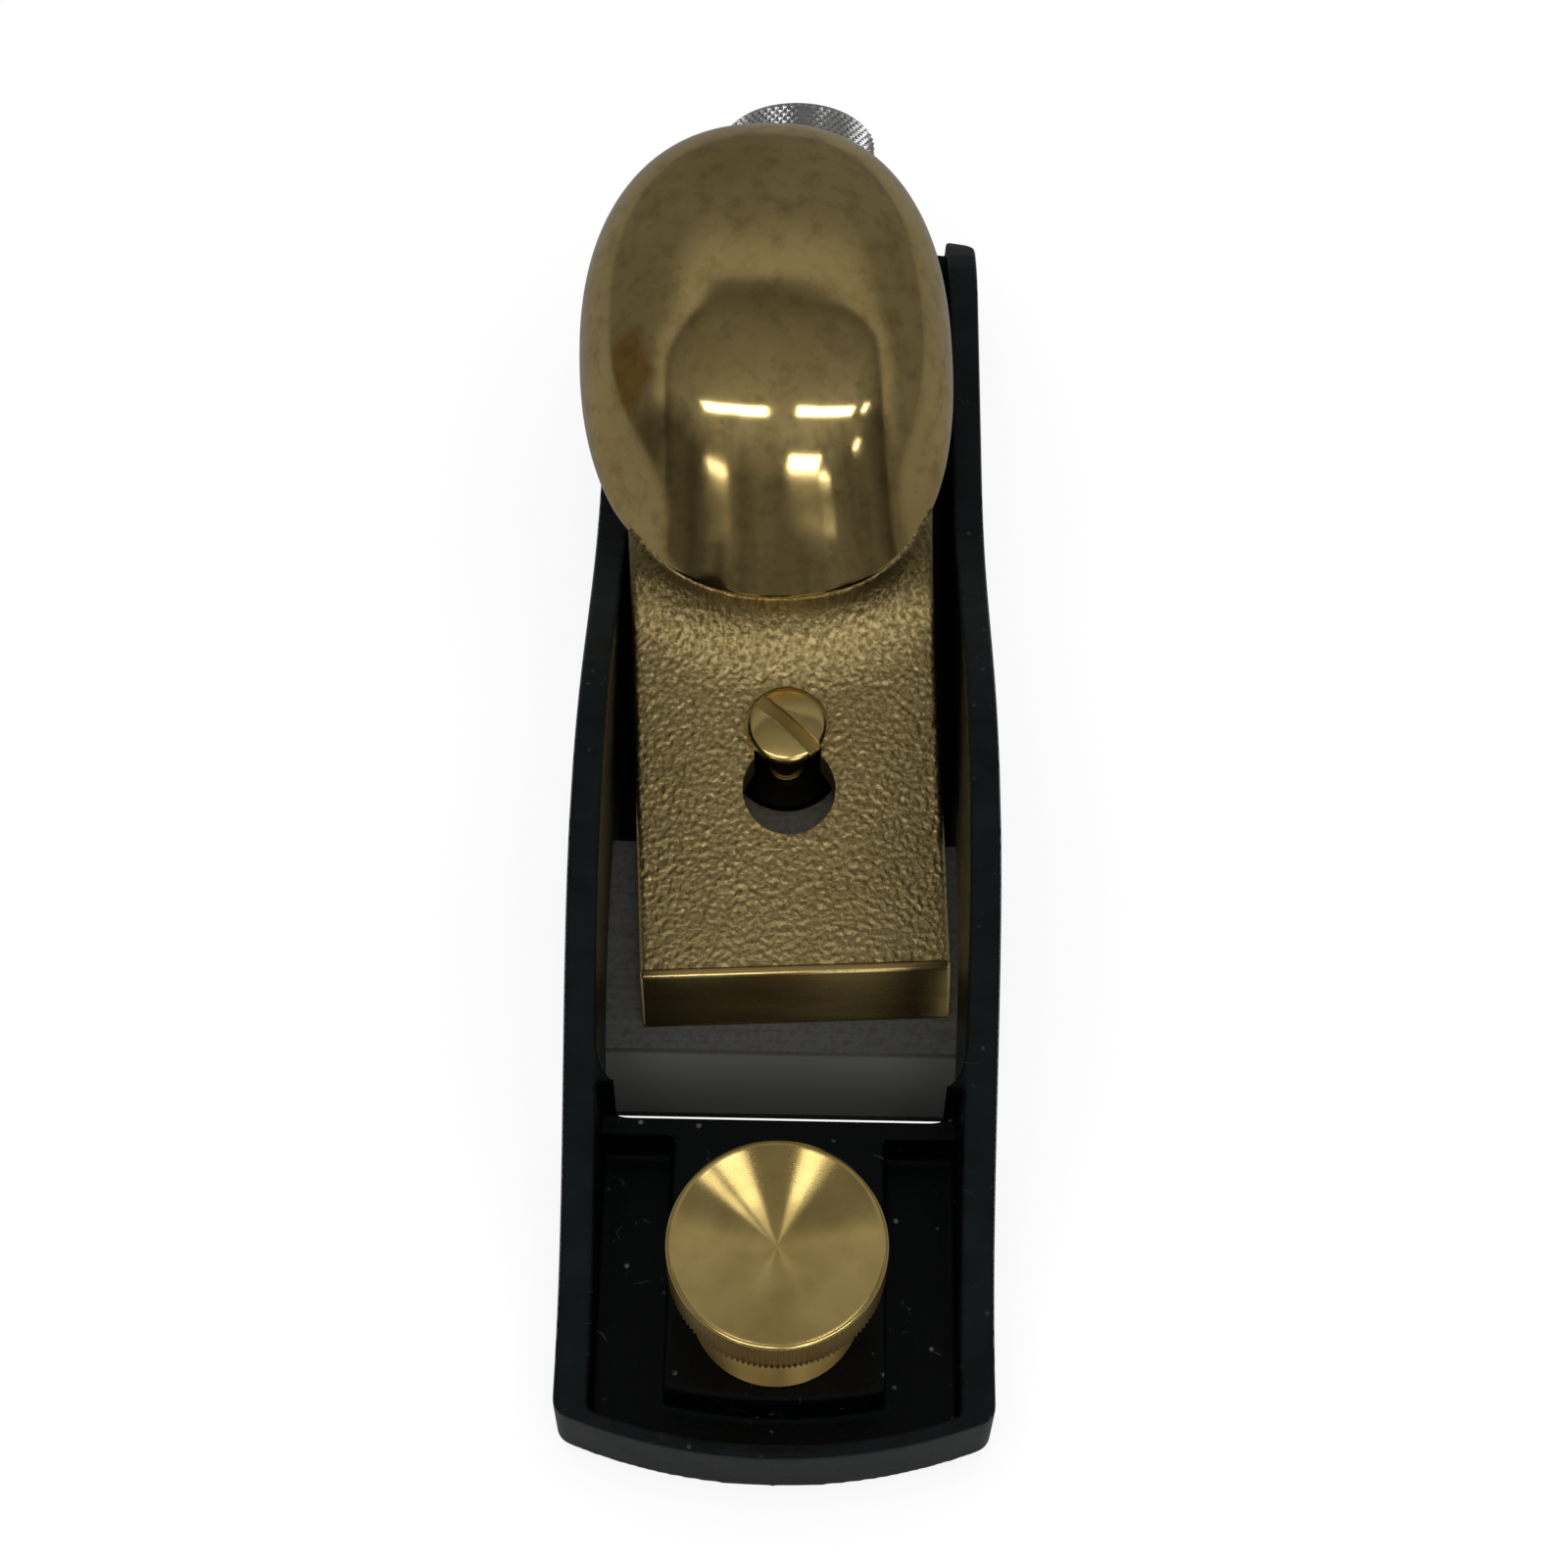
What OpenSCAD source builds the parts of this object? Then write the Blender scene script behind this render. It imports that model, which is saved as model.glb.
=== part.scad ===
// Low-angle rebate block plane with an adjustable mouth. Sizes in millimetres.
// X runs across the plane, Y from toe to heel and Z up from the sole.
// Along the bed, u is the distance behind the cutting edge and w the height above the bed.

/* [Body] */
// Length from nose to heel along the middle
body_length = 157.5; // [154:0.5:170]
// Width across the two side faces
body_width = 44.45; // [43:0.05:48]
// How far the nose and the heel bulge at the middle
end_bulge = 4.5; // [2:0.1:6]
// Radius of the upright corners
corner_radius = 2; // [1:0.1:4]
// Thickness of the side walls at their crest
wall_thickness = 3.2; // [2.6:0.1:3.6]
// How much thicker the side walls are at the sole
wall_draft = 0.7; // [0:0.1:1]
// Height of the nose
nose_height = 9.5; // [8:0.1:11]
// Height of the side walls at their crest
crest_height = 32.5; // [28:0.5:38]
// Height of the side walls towards the heel
tail_height = 17.4; // [15:0.1:19]
// Height of the rim across the heel
heel_rim_height = 10.5; // [7:0.5:12]
// Distance from the nose to where the walls start to rise
rise_start = 9.7; // [6:0.1:14]
// Length of the rise to the crest
rise_length = 52; // [46:0.5:58]
// Length of the crest
crest_length = 2; // [0:0.5:6]
// Length of the fall behind the crest
fall_length = 51; // [46:0.5:56]
// Length of the last fall of the walls, up to the heel
tail_run = 16; // [12:0.5:20]
// Drop of the walls over that length
tail_drop = 6.5; // [4:0.1:8]
// Thickness of the sole behind the mouth
sole_thickness = 5; // [4:0.1:6]
// Thickness of the rim across the heel
heel_rim = 3.5; // [2.5:0.1:5]
// Thickness of the rim round the nose
nose_rim = 1.5; // [1:0.1:2.5]

/* [Toe deck] */
// Height of the floor inside the nose
deck_height = 6.6; // [5.6:0.1:8]
// Height of the raised platform under the knob
platform_height = 11.9; // [10.5:0.1:13]
// Width of the raised platform
platform_width = 22; // [20:0.5:26]
// Distance from the nose to the front of the platform
platform_setback = 5.1; // [4:0.1:6]
// Thickness of the cross bar in front of the throat, at its top
cross_bar = 2; // [1.5:0.1:4]

/* [Mouth and bed] */
// Distance from the nose to the cutting edge
edge_from_nose = 40.7; // [39.5:0.1:44]
// Angle of the bed to the sole
bed_angle = 12; // [11:0.5:13]
// Mouth opening between the toe plate and the cutting edge
mouth_gap = 1.8; // [1.6:0.1:2.4]
// Opening in the sole behind the cutting edge
mouth_back = 2.5; // [2:0.1:4]
// Opening in the side rails ahead of the cutting edge
rail_gap = 3; // [2.4:0.1:4]
// Distance from the cutting edge forward to the top of the cross bar
throat_front = 5.3; // [5:0.1:7]
// Radius of the throat's front corners
throat_fillet = 2.5; // [1:0.5:4]
// Length of the front bed behind the cutting edge
front_bed = 32; // [28:0.5:34]
// Length of the side arches that the wings of the iron pass through
arch_length = 44; // [42:0.5:48]
// Height of the side arches
arch_height = 15.5; // [14.5:0.5:18]

/* [Toe plate] */
// Width of the sliding toe plate
toe_width = 25.4; // [22:0.1:28]
// Thickness of the toe plate
toe_thickness = 3.6; // [3:0.1:4.2]
// Length of the toe plate
toe_length = 32; // [30:0.1:33]
// Height of the upright lip at the mouth
toe_lip = 1.2; // [0.8:0.1:2]
// Travel of the toe plate towards the iron
toe_close = 0.8; // [0.2:0.1:0.8]
// Travel of the toe plate away from the iron
toe_open = 3; // [2:0.1:3.2]
// Width of the guide key on the toe plate
key_width = 8.6; // [8:0.1:9.2]
// Length of the guide key
key_length = 7.6; // [7.4:0.1:8]
// How far the key stops below the platform
key_drop = 0.6; // [0.4:0.1:1]

/* [Toe knob] */
// Distance from the cutting edge forward to the knob's axis
knob_from_edge = 25.7; // [24:0.1:26.5]
// Diameter over the knurl
knob_diameter = 21.5; // [19:0.1:23]
// Height of the knob above the platform
knob_height = 17; // [15:0.1:20]
// Height of the knurled band
knurl_height = 5.9; // [4.5:0.1:8]
// Diameter of the foot
foot_diameter = 17.2; // [16:0.1:18]
// Height of the cone between the foot and the knurl
knob_shoulder = 1.4; // [0.8:0.1:2]
// Chamfer on both edges of the knurl
knob_chamfer = 0.5; // [0.2:0.1:0.8]
// Depth of the dished face at its middle
face_dish = 0.8; // [0.2:0.1:1.2]
// Diameter of the stud
stud_diameter = 5.6; // [5:0.1:6]
// How far the stud stops above the sole
stud_floor = 1.6; // [1.2:0.1:2.4]
// Thickness of the knob above the stud
knob_roof = 5; // [3:0.1:7]

/* [Blade] */
// Thickness of the iron
iron_thickness = 3.2; // [2.6:0.1:3.8]
// How far the iron runs back past the front of the adjuster's collar
iron_tail = 5.8; // [5:0.1:6.8]
// Length of the wide head
head_length = 30.5; // [28:0.5:31]
// How far the wide head stays inside each side face
head_inset = 0.1; // [0:0.05:0.4]
// Width of the tail behind the head
tail_width = 29; // [27:0.5:31]
// Radius of the tail's corners
tail_radius = 10; // [4:0.5:12]
// Sharpening bevel on the upper side
iron_bevel = 25; // [22:0.5:30]
// Width of the long slot
iron_slot_width = 12.7; // [11:0.1:14]
// Distance from the cutting edge to the front of the slot
iron_slot_front = 34.3; // [33:0.1:34.5]
// Length of the long slot
iron_slot_length = 28; // [24:0.5:32]

/* [Lever cap] */
// Distance from the cutting edge to the front of the cap
cap_front = 9.9; // [8.5:0.1:11]
// Width of the cap's plate
cap_width = 33; // [30:0.1:33.2]
// Height and run of the polished front bevel
cap_bevel = 4.6; // [3.6:0.1:5.4]
// Slope of the plate's top to the bed
cap_slope = 5.7; // [4:0.1:7]
// Length of the land that presses on the iron
cap_land = 5; // [4:0.1:7]
// Relief under the plate behind the land
cap_relief = 1.4; // [0.8:0.1:2]
// Distance from the cutting edge to the foot of the sweep up to the dome
sweep_start = 48.6; // [47.5:0.1:50]
// Radius of the sweep up to the dome
sweep_radius = 6.6; // [5.5:0.1:7.5]
// Turn of the cap about its screw, as it stands
cap_skew = 3; // [0:0.1:3.2]
// Diameter of the keyhole's wide end
keyhole_diameter = 10.2; // [9.6:0.1:11]
// Width of the keyhole's neck
keyhole_neck = 7.4; // [5.4:0.1:7.6]
// Distance from the keyhole's wide end back to the screw
keyhole_pitch = 6.6; // [6:0.1:7.4]
// Distance from the cutting edge to the dome's middle
dome_place = 83.5; // [82:0.5:86]
// Height of the dome's widest level above the bed
dome_level = 17.5; // [16.5:0.1:19]
// Sideways offset of the dome on its plate, as cast
dome_offset = -0.8; // [-1.5:0.1:1.5]
// Length of the dome
dome_length = 56; // [53:0.5:58]
// Distance between the two round ends that make up the dome
dome_flat = 8; // [2:0.5:12]
// Width of the dome
dome_width = 42.2; // [38:0.1:43]
// Rise of the dome above its widest level
dome_rise = 17; // [14:0.1:19]
// Radius of the dome's front, which slopes down to the sweep
dome_front = 41; // [38:0.5:50]
// Distance from the cutting edge to the middle of that radius
dome_front_place = 88; // [86:0.5:92]
// Thickness of the dome's shell
dome_shell = 4; // [3:0.1:5]
// Height of the dome's open rim above the bed
dome_rim = 12.5; // [12.3:0.1:14]
// Radius of the dome's two front shoulders
shoulder_radius = 6.6; // [5:0.1:7.5]
// How far the shoulders stand out past the plate's sides
shoulder_flare = 0.8; // [0.3:0.1:1.5]
// Distance from the cutting edge to the front shoulders
shoulder_place = 62.5; // [61:0.1:64]

/* [Lever cap screw] */
// Distance from the cutting edge to the screw
screw_place = 41.3; // [40.6:0.1:42]
// Diameter of the round head
screw_head = 8.6; // [8.2:0.1:9.2]
// Height of the head's straight rim
head_rim = 1.7; // [1:0.1:2.4]
// Rise of the head's rounded top
head_rise = 1; // [0.4:0.1:1.6]
// Width of the driver slot
driver_slot = 1.5; // [0.8:0.1:2]
// Depth of the driver slot
driver_depth = 1.2; // [0.6:0.1:1.6]
// Turn of the driver slot
driver_turn = -42; // [-90:1:90]
// Diameter of the plain shank
shank_diameter = 3.4; // [3:0.1:3.8]
// Diameter of the thread in the body
thread_diameter = 4.2; // [4:0.1:4.8]
// Diameter of the boss in the body
boss_diameter = 11; // [9:0.5:12]
// How far the boss stays below the iron
boss_drop = 0.5; // [0.2:0.1:1]

/* [Spin wheel] */
// Distance from the cutting edge to the wheel's axis
spin_place = 83; // [82:0.5:84]
// Diameter of the wheel
spin_diameter = 19; // [17:0.5:21]
// Thickness of the wheel
spin_thickness = 5; // [4:0.1:5.4]
// Height of the wheel above the iron
spin_height = 2.3; // [2:0.1:2.6]
// Chamfer on the wheel's edges
spin_chamfer = 0.6; // [0.2:0.1:1]
// Diameter of the clamping screw
clamp_diameter = 6; // [5:0.1:7]
// Length of the clamping screw
clamp_length = 19; // [17:0.5:21]
// Diameter of the boss inside the dome
dome_boss = 14; // [11:0.5:16]
// Room left between the wheel and the boss
spin_room = 2.4; // [2:0.1:2.8]

/* [Depth adjuster] */
// Distance of the adjuster's axis below the bed
adjuster_drop = 6; // [5.4:0.1:6.4]
// Diameter of the adjuster's wheel
adjuster_diameter = 19; // [16:0.5:20]
// Length of the adjuster's wheel
adjuster_length = 10.5; // [8:0.5:12]
// Chamfer on the wheel's edges
adjuster_chamfer = 0.8; // [0.3:0.1:1.5]
// Distance along the bed from the heel forward to the collar
collar_setback = 12.2; // [11.8:0.1:12.4]
// Diameter of the collar
collar_diameter = 16; // [15:0.1:17]
// Thickness of the collar
collar_thickness = 3; // [2.4:0.1:3.2]
// Diameter of the neck behind the collar
neck_diameter = 8; // [6.5:0.1:10]
// Length of the neck behind the collar
neck_length = 4.3; // [3:0.1:6]
// Diameter of the spindle's thread
spindle_diameter = 6; // [5:0.1:6.4]
// Length of the spindle's thread ahead of the collar
spindle_length = 21; // [18:0.5:23]
// Width of the rear bed block
block_width = 18; // [14:0.5:22]
// Length of the rear bed block
block_length = 21; // [18:0.5:22]
// Gap between the rear bed block and the collar
block_gap = 4.2; // [2:0.1:5]

/* [Fits] */
// Radial clearance of turned pieces in their bores
running_fit = 0.05; // [0.02:0.01:0.1]
// Clearance of sliding pieces on each face
sliding_fit = 0.1; // [0.05:0.05:0.3]
// Clearance under the screw's head
seat_fit = 0.05; // [0.02:0.01:0.2]
// Clearance round heads and wheels that turn in a recess
recess_fit = 0.5; // [0.3:0.1:1]
// Clearance at the ends of a travel
end_fit = 0.3; // [0.2:0.1:0.6]

/* [Hidden] */
$fn = 96;
profile_steps = 64;
arc_steps = 12;
shell_facets = 32;
cut = 1;

iron_black = [0.10, 0.11, 0.13];
iron_grey = [0.55, 0.56, 0.57];
steel = [0.68, 0.68, 0.70];
brass = [0.80, 0.66, 0.36];
bronze = [0.72, 0.55, 0.32];

// Places along the plane
half_width = body_width / 2;
y_nose = -body_length / 2;
y_heel = body_length / 2;
y_edge = y_nose + edge_from_nose;
collar_place = (y_heel - y_edge) / cos(bed_angle) - collar_setback;
iron_length = collar_place + iron_tail;
y_bar = y_edge - throat_front - cross_bar;
y_knob = y_edge - knob_from_edge;
y_toe = y_edge - mouth_gap;

// Rounded ends of the plan
end_radius = (half_width * half_width + end_bulge * end_bulge) / (2 * end_bulge);
corner_x = half_width - corner_radius;
corner_reach = end_radius - corner_radius;
corner_back = end_radius - sqrt(corner_reach * corner_reach - corner_x * corner_x);
tangent_x = corner_x * end_radius / corner_reach;
wall_middle = half_width - wall_thickness / 2;

// Side profile
y_rise = y_nose + rise_start;
y_fall = y_rise + rise_length + crest_length;
y_tail = y_heel - tail_run;

// Sizes shared by pieces that fit each other
stud_bore = stud_diameter / 2 + running_fit;
clamp_bore = clamp_diameter / 2 + running_fit;
thread_bore = thread_diameter / 2 + running_fit;
spindle_bore = spindle_diameter / 2 + running_fit;
cap_top = iron_thickness + cap_bevel + (screw_place - cap_front - cap_bevel) * tan(cap_slope);
sweep_level = iron_thickness + cap_bevel + (sweep_start - cap_front - cap_bevel) * tan(cap_slope);
relief_level = iron_thickness + cap_relief;
head_seat = screw_head / 2 + recess_fit;
spin_bottom = iron_thickness + spin_height;
boss_level = spin_bottom + spin_thickness + spin_room;
block_end = collar_place - block_gap;
wheel_place = collar_place + collar_thickness + neck_length;
wheel_recess = adjuster_diameter / 2 + recess_fit * 2;
collar_chord = sqrt(collar_diameter * collar_diameter / 4 - adjuster_drop * adjuster_drop);

function ease(t) = (1 - cos(180 * min(max(t, 0), 1))) / 2;
function wall_height(y) = nose_height
    + (crest_height - nose_height) * ease((y - y_rise) / rise_length)
    - (crest_height - tail_height) * ease((y - y_fall) / fall_length)
    - tail_drop * pow(max(y - y_tail, 0) / tail_run, 2);
function inner_half(z) = half_width - wall_thickness - wall_draft * (crest_height - z) / crest_height;
function bed_y(u, w) = y_edge + u * cos(bed_angle) - w * sin(bed_angle);
function bed_z(u, w) = u * sin(bed_angle) + w * cos(bed_angle);
function bed_depth(u, z) = (u * sin(bed_angle) - z) / cos(bed_angle);

// Puts children on the bed, with Y as u and Z as w
module on_bed() {
    translate([0, y_edge, 0]) rotate([bed_angle, 0, 0]) children();
}

// Puts children on the bed, turned about the lever cap screw
module on_cap() {
    on_bed() translate([0, screw_place, 0]) rotate([0, 0, cap_skew])
        translate([0, -screw_place, 0]) children();
}

// Stretches a side view, drawn in Y and Z, across the plane
module across(width) {
    rotate([90, 0, 90]) linear_extrude(width, center = true) children();
}

// Round bar along the bed
module bed_bar(radius, start, length) {
    translate([0, start, -adjuster_drop]) rotate([-90, 0, 0]) cylinder(r = radius, h = length);
}

// Turned disc with both edges chamfered
module chamfered_disc(radius, height, chamfer) {
    rotate_extrude() polygon([[0, 0], [radius - chamfer, 0], [radius, chamfer],
        [radius, height - chamfer], [radius - chamfer, height], [0, height]]);
}

// Plan of the body
module plan_outline() {
    square([body_width, body_length - 2 * corner_back], center = true);
    for (end = [0, 1]) mirror([0, end, 0]) {
        intersection() {
            translate([0, y_nose + end_radius]) circle(end_radius);
            translate([-tangent_x, y_nose]) square([2 * tangent_x, corner_back + cut]);
        }
        for (side = [-1, 1]) translate([side * corner_x, y_nose + corner_back]) circle(corner_radius);
    }
}

// Side view of the body
module side_outline() {
    polygon(concat([[y_heel, 0], [y_nose, 0]],
        [for (i = [0 : profile_steps])
            let (y = y_nose + body_length * i / profile_steps) [y, wall_height(y)]]));
}

// Space between the side walls, with their draft
module between_walls(start, end, floor) {
    top = crest_height + cut;
    translate([0, end, 0]) rotate([90, 0, 0]) linear_extrude(end - start)
        polygon([[-inner_half(floor), floor], [inner_half(floor), floor],
            [inner_half(top), top], [-inner_half(top), top]]);
}

// Everything inside a line that follows the nose at a distance
module inside_nose(distance) {
    translate([0, y_nose + end_radius, -cut]) cylinder(r = end_radius - distance, h = crest_height + 3 * cut);
    translate([-half_width, y_nose + end_radius, -cut]) cube([body_width, body_length, crest_height + 3 * cut]);
}

// Plan of the throat, round in its front corners
module throat_plan() {
    near = y_edge - throat_front;
    reach = inner_half(platform_height) - throat_fillet;
    far = mouth_back + throat_front + cut;
    translate([-reach, near]) square([2 * reach, far]);
    translate([-half_width, near + throat_fillet]) square([body_width, far - throat_fillet]);
    for (side = [-1, 1]) translate([side * reach, near + throat_fillet]) circle(throat_fillet);
}

// Mouth and throat in front of the bed
module throat() {
    intersection() {
        between_walls(y_edge - throat_front - cut, y_edge + mouth_back + cut, platform_height);
        linear_extrude(crest_height + 2 * cut) throat_plan();
    }
    intersection() {
        between_walls(y_edge - throat_front, y_edge + mouth_back, -cut);
        across(body_width) polygon([[y_edge - rail_gap, -cut], [y_edge + mouth_back, -cut],
            [y_edge + mouth_back, platform_height], [y_edge - throat_front, platform_height],
            [y_edge - rail_gap, 0]]);
        translate([0, 0, -cut]) linear_extrude(crest_height + 2 * cut) throat_plan();
    }
}

// Openings in the side walls for the wings of the iron
module side_arches() {
    middle = y_edge - rail_gap + arch_length / 2;
    difference() {
        across(body_width + 2 * cut) polygon(concat(
            [[middle + arch_length / 2, -cut], [middle - arch_length / 2, -cut]],
            [for (i = [0 : 2 * arc_steps])
                let (turn = 180 - 90 * i / arc_steps)
                    [middle + arch_length / 2 * cos(turn), arch_height * sin(turn)]]));
        across(body_width + 4 * cut) polygon([[y_edge + mouth_back, -2 * cut],
            [y_edge + mouth_back, mouth_back * tan(bed_angle)],
            [y_edge + arch_length, arch_length * tan(bed_angle)], [y_edge + arch_length, -2 * cut]]);
    }
}

// Beds that carry the iron, and the boss for the lever cap screw
module beds() {
    across(2 * wall_middle) polygon([[y_edge + mouth_back, 0],
        [y_edge + mouth_back, mouth_back * tan(bed_angle)],
        [bed_y(front_bed, 0), bed_z(front_bed, 0)], [bed_y(front_bed, 0), 0]]);
    across(block_width) polygon([[bed_y(block_end - block_length, 0), sole_thickness / 2],
        [bed_y(block_end - block_length, 0), bed_z(block_end - block_length, 0)],
        [bed_y(block_end, 0), bed_z(block_end, 0)],
        [bed_y(block_end, -bed_depth(block_end, sole_thickness / 2)), sole_thickness / 2]]);
    boss_length = bed_depth(screw_place, sole_thickness / 2) - boss_drop;
    on_bed() translate([0, screw_place, -boss_length - boss_drop])
        cylinder(d = boss_diameter, h = boss_length);
}

// Raised platform that the knob clamps on
module platform() {
    intersection() {
        inside_nose(platform_setback);
        translate([-platform_width / 2, y_nose, deck_height - cut])
            cube([platform_width, y_bar - y_nose + cut, platform_height - deck_height + cut]);
    }
}

// Cuts for the toe plate, its key and the knob's stud
module toe_cuts() {
    slot_start = y_toe - toe_length - toe_open - end_fit;
    slot_width = toe_width + 2 * sliding_fit;
    translate([-slot_width / 2, slot_start, -cut])
        cube([slot_width, y_edge - slot_start, toe_thickness + sliding_fit + cut]);
    way_width = key_width + 2 * sliding_fit;
    way_start = y_knob - key_length / 2 - toe_open - end_fit;
    way_end = y_knob + key_length / 2 + toe_close + end_fit;
    translate([-way_width / 2, way_start, 0])
        cube([way_width, way_end - way_start, platform_height + cut]);
}

module body() {
    color(iron_black) difference() {
        union() {
            difference() {
                intersection() {
                    linear_extrude(crest_height + cut) plan_outline();
                    across(body_width + cut) side_outline();
                }
                intersection() {
                    between_walls(y_nose, y_bar, deck_height);
                    inside_nose(nose_rim);
                }
                between_walls(y_bar - cut, y_edge - throat_front, platform_height);
                between_walls(y_edge + mouth_back, y_heel + cut, heel_rim_height);
                intersection() {
                    between_walls(y_edge + mouth_back, y_heel, sole_thickness);
                    mirror([0, 1, 0]) inside_nose(heel_rim);
                }
            }
            platform();
            beds();
        }
        throat();
        side_arches();
        toe_cuts();
        on_bed() {
            translate([0, screw_place, -bed_depth(screw_place, sole_thickness / 2)])
                cylinder(r = thread_bore, h = bed_depth(screw_place, 0));
            bed_bar(spindle_bore, block_end - block_length - cut, block_length + 2 * cut);
            bed_bar(wheel_recess, wheel_place - 2 * recess_fit - cut, body_length);
        }
    }
}

module toe_plate() {
    lip_back = y_toe - toe_thickness + toe_lip;
    color(iron_grey) difference() {
        union() {
            across(toe_width) polygon([[y_toe - toe_length, 0], [y_toe, 0], [y_toe, toe_lip],
                [lip_back, toe_thickness], [y_toe - toe_length, toe_thickness]]);
            translate([-key_width / 2, y_knob - key_length / 2, toe_thickness / 2])
                cube([key_width, key_length, platform_height - key_drop - toe_thickness / 2]);
        }
        translate([0, y_knob, stud_floor - end_fit]) cylinder(r = stud_bore, h = platform_height);
    }
}

module toe_stud() {
    color(brass) translate([0, y_knob, stud_floor])
        cylinder(d = stud_diameter, h = platform_height + knob_height - knob_roof - stud_floor);
}

module toe_knob() {
    foot = foot_diameter / 2;
    rim = knob_diameter / 2;
    band = knob_height - knurl_height;
    color(brass) translate([0, y_knob, platform_height]) difference() {
        rotate_extrude() polygon([[0, 0], [foot, 0], [foot, band - knob_shoulder],
            [rim - knob_chamfer, band], [rim, band + knob_chamfer], [rim, knob_height - knob_chamfer],
            [rim - knob_chamfer, knob_height], [0, knob_height - face_dish]]);
        translate([0, 0, -cut]) cylinder(r = stud_bore, h = knob_height - knob_roof + end_fit + cut);
    }
}

// Plan of the iron: wide head, narrow tail and long slot
module iron_plan() {
    head = half_width - head_inset;
    tail = tail_width / 2;
    slot_end = iron_slot_width / 2;
    difference() {
        union() {
            translate([-head, 0]) square([2 * head, head_length]);
            translate([-tail, 0]) square([tail_width, iron_length - tail_radius]);
            translate([tail_radius - tail, 0]) square([tail_width - 2 * tail_radius, iron_length]);
            for (side = [-1, 1]) translate([side * (tail - tail_radius), iron_length - tail_radius])
                circle(tail_radius);
        }
        translate([-slot_end, iron_slot_front + slot_end])
            square([iron_slot_width, iron_slot_length - iron_slot_width]);
        for (place = [slot_end, iron_slot_length - slot_end])
            translate([0, iron_slot_front + place]) circle(slot_end);
    }
}

module blade() {
    bevel_run = iron_thickness / tan(iron_bevel);
    color(steel) on_bed() difference() {
        linear_extrude(iron_thickness) iron_plan();
        across(body_width + cut) polygon([[0, 0], [bevel_run + cut / tan(iron_bevel), iron_thickness + cut],
            [-cut, iron_thickness + cut], [-cut, 0]]);
        translate([-collar_chord - recess_fit, collar_place - sliding_fit, -cut])
            cube([2 * (collar_chord + recess_fit), collar_thickness + 2 * sliding_fit,
                collar_diameter / 2 - adjuster_drop + sliding_fit + cut]);
    }
}

// Plate of the lever cap: polished front bevel, flat top and hollow sweep up to the dome
module cap_plate() {
    neck_end = shoulder_place + shoulder_radius / 2;
    across(cap_width) polygon(concat(
        [[cap_front, iron_thickness], [cap_front + cap_bevel, iron_thickness + cap_bevel]],
        [for (i = [0 : arc_steps])
            let (turn = 270 + 90 * i / arc_steps)
                [sweep_start + sweep_radius * cos(turn), sweep_level + sweep_radius * (1 + sin(turn))]],
        [[neck_end, sweep_level + sweep_radius], [neck_end, dome_rim + cut],
         [shoulder_place - shoulder_radius, dome_rim], [sweep_start, relief_level],
         [cap_front + cap_land + cap_relief, relief_level], [cap_front + cap_land, iron_thickness]]));
}

// Two egg-shaped ends, front and back, that make up the dome
module dome_ends(length, width, rise) {
    end_length = length - dome_flat;
    for (end = [-1, 1]) translate([dome_offset, dome_place + end * dome_flat / 2, dome_level])
        scale([width / end_length, 1, 2 * rise / end_length])
            sphere(d = end_length, $fn = shell_facets);
}

// The dome's solid form or, a wall's thickness smaller, its hollow; children join in at the front
module dome_form(wall) {
    intersection() {
        hull() {
            dome_ends(dome_length - 2 * wall, dome_width - 2 * wall, dome_rise - wall);
            children();
        }
        translate([dome_offset, dome_front_place, dome_level + dome_rise - dome_front])
            sphere(r = dome_front - wall, $fn = 2 * shell_facets);
    }
}

// Palm dome, hollow underneath round the boss for the clamping screw
module cap_dome() {
    shoulder_x = cap_width / 2 - shoulder_radius + shoulder_flare;
    difference() {
        dome_form(0) for (side = [-1, 1]) translate([side * shoulder_x, shoulder_place, dome_level])
            sphere(r = shoulder_radius, $fn = shell_facets);
        translate([-dome_width, 0, dome_level - dome_rise * 2])
            cube([2 * dome_width, iron_length * 2, dome_rim - dome_level + dome_rise * 2]);
        difference() {
            dome_form(dome_shell);
            translate([0, spin_place, boss_level]) cylinder(d = dome_boss, h = 2 * dome_rise);
        }
    }
}

module lever_cap() {
    keyhole_place = screw_place - keyhole_pitch;
    color(bronze) on_cap() difference() {
        union() {
            cap_plate();
            cap_dome();
        }
        translate([0, keyhole_place, 0]) cylinder(d = keyhole_diameter, h = cap_top + dome_rise);
        translate([-keyhole_neck / 2, keyhole_place, 0]) cube([keyhole_neck, keyhole_pitch, cap_top + cut]);
        translate([0, screw_place, 0]) cylinder(d = keyhole_neck, h = cap_top + cut);
        translate([0, screw_place, cap_top]) cylinder(r = head_seat, h = screw_head);
        translate([0, spin_place, 0]) cylinder(r = clamp_bore, h = iron_thickness + clamp_length + spin_room);
    }
}

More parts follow.
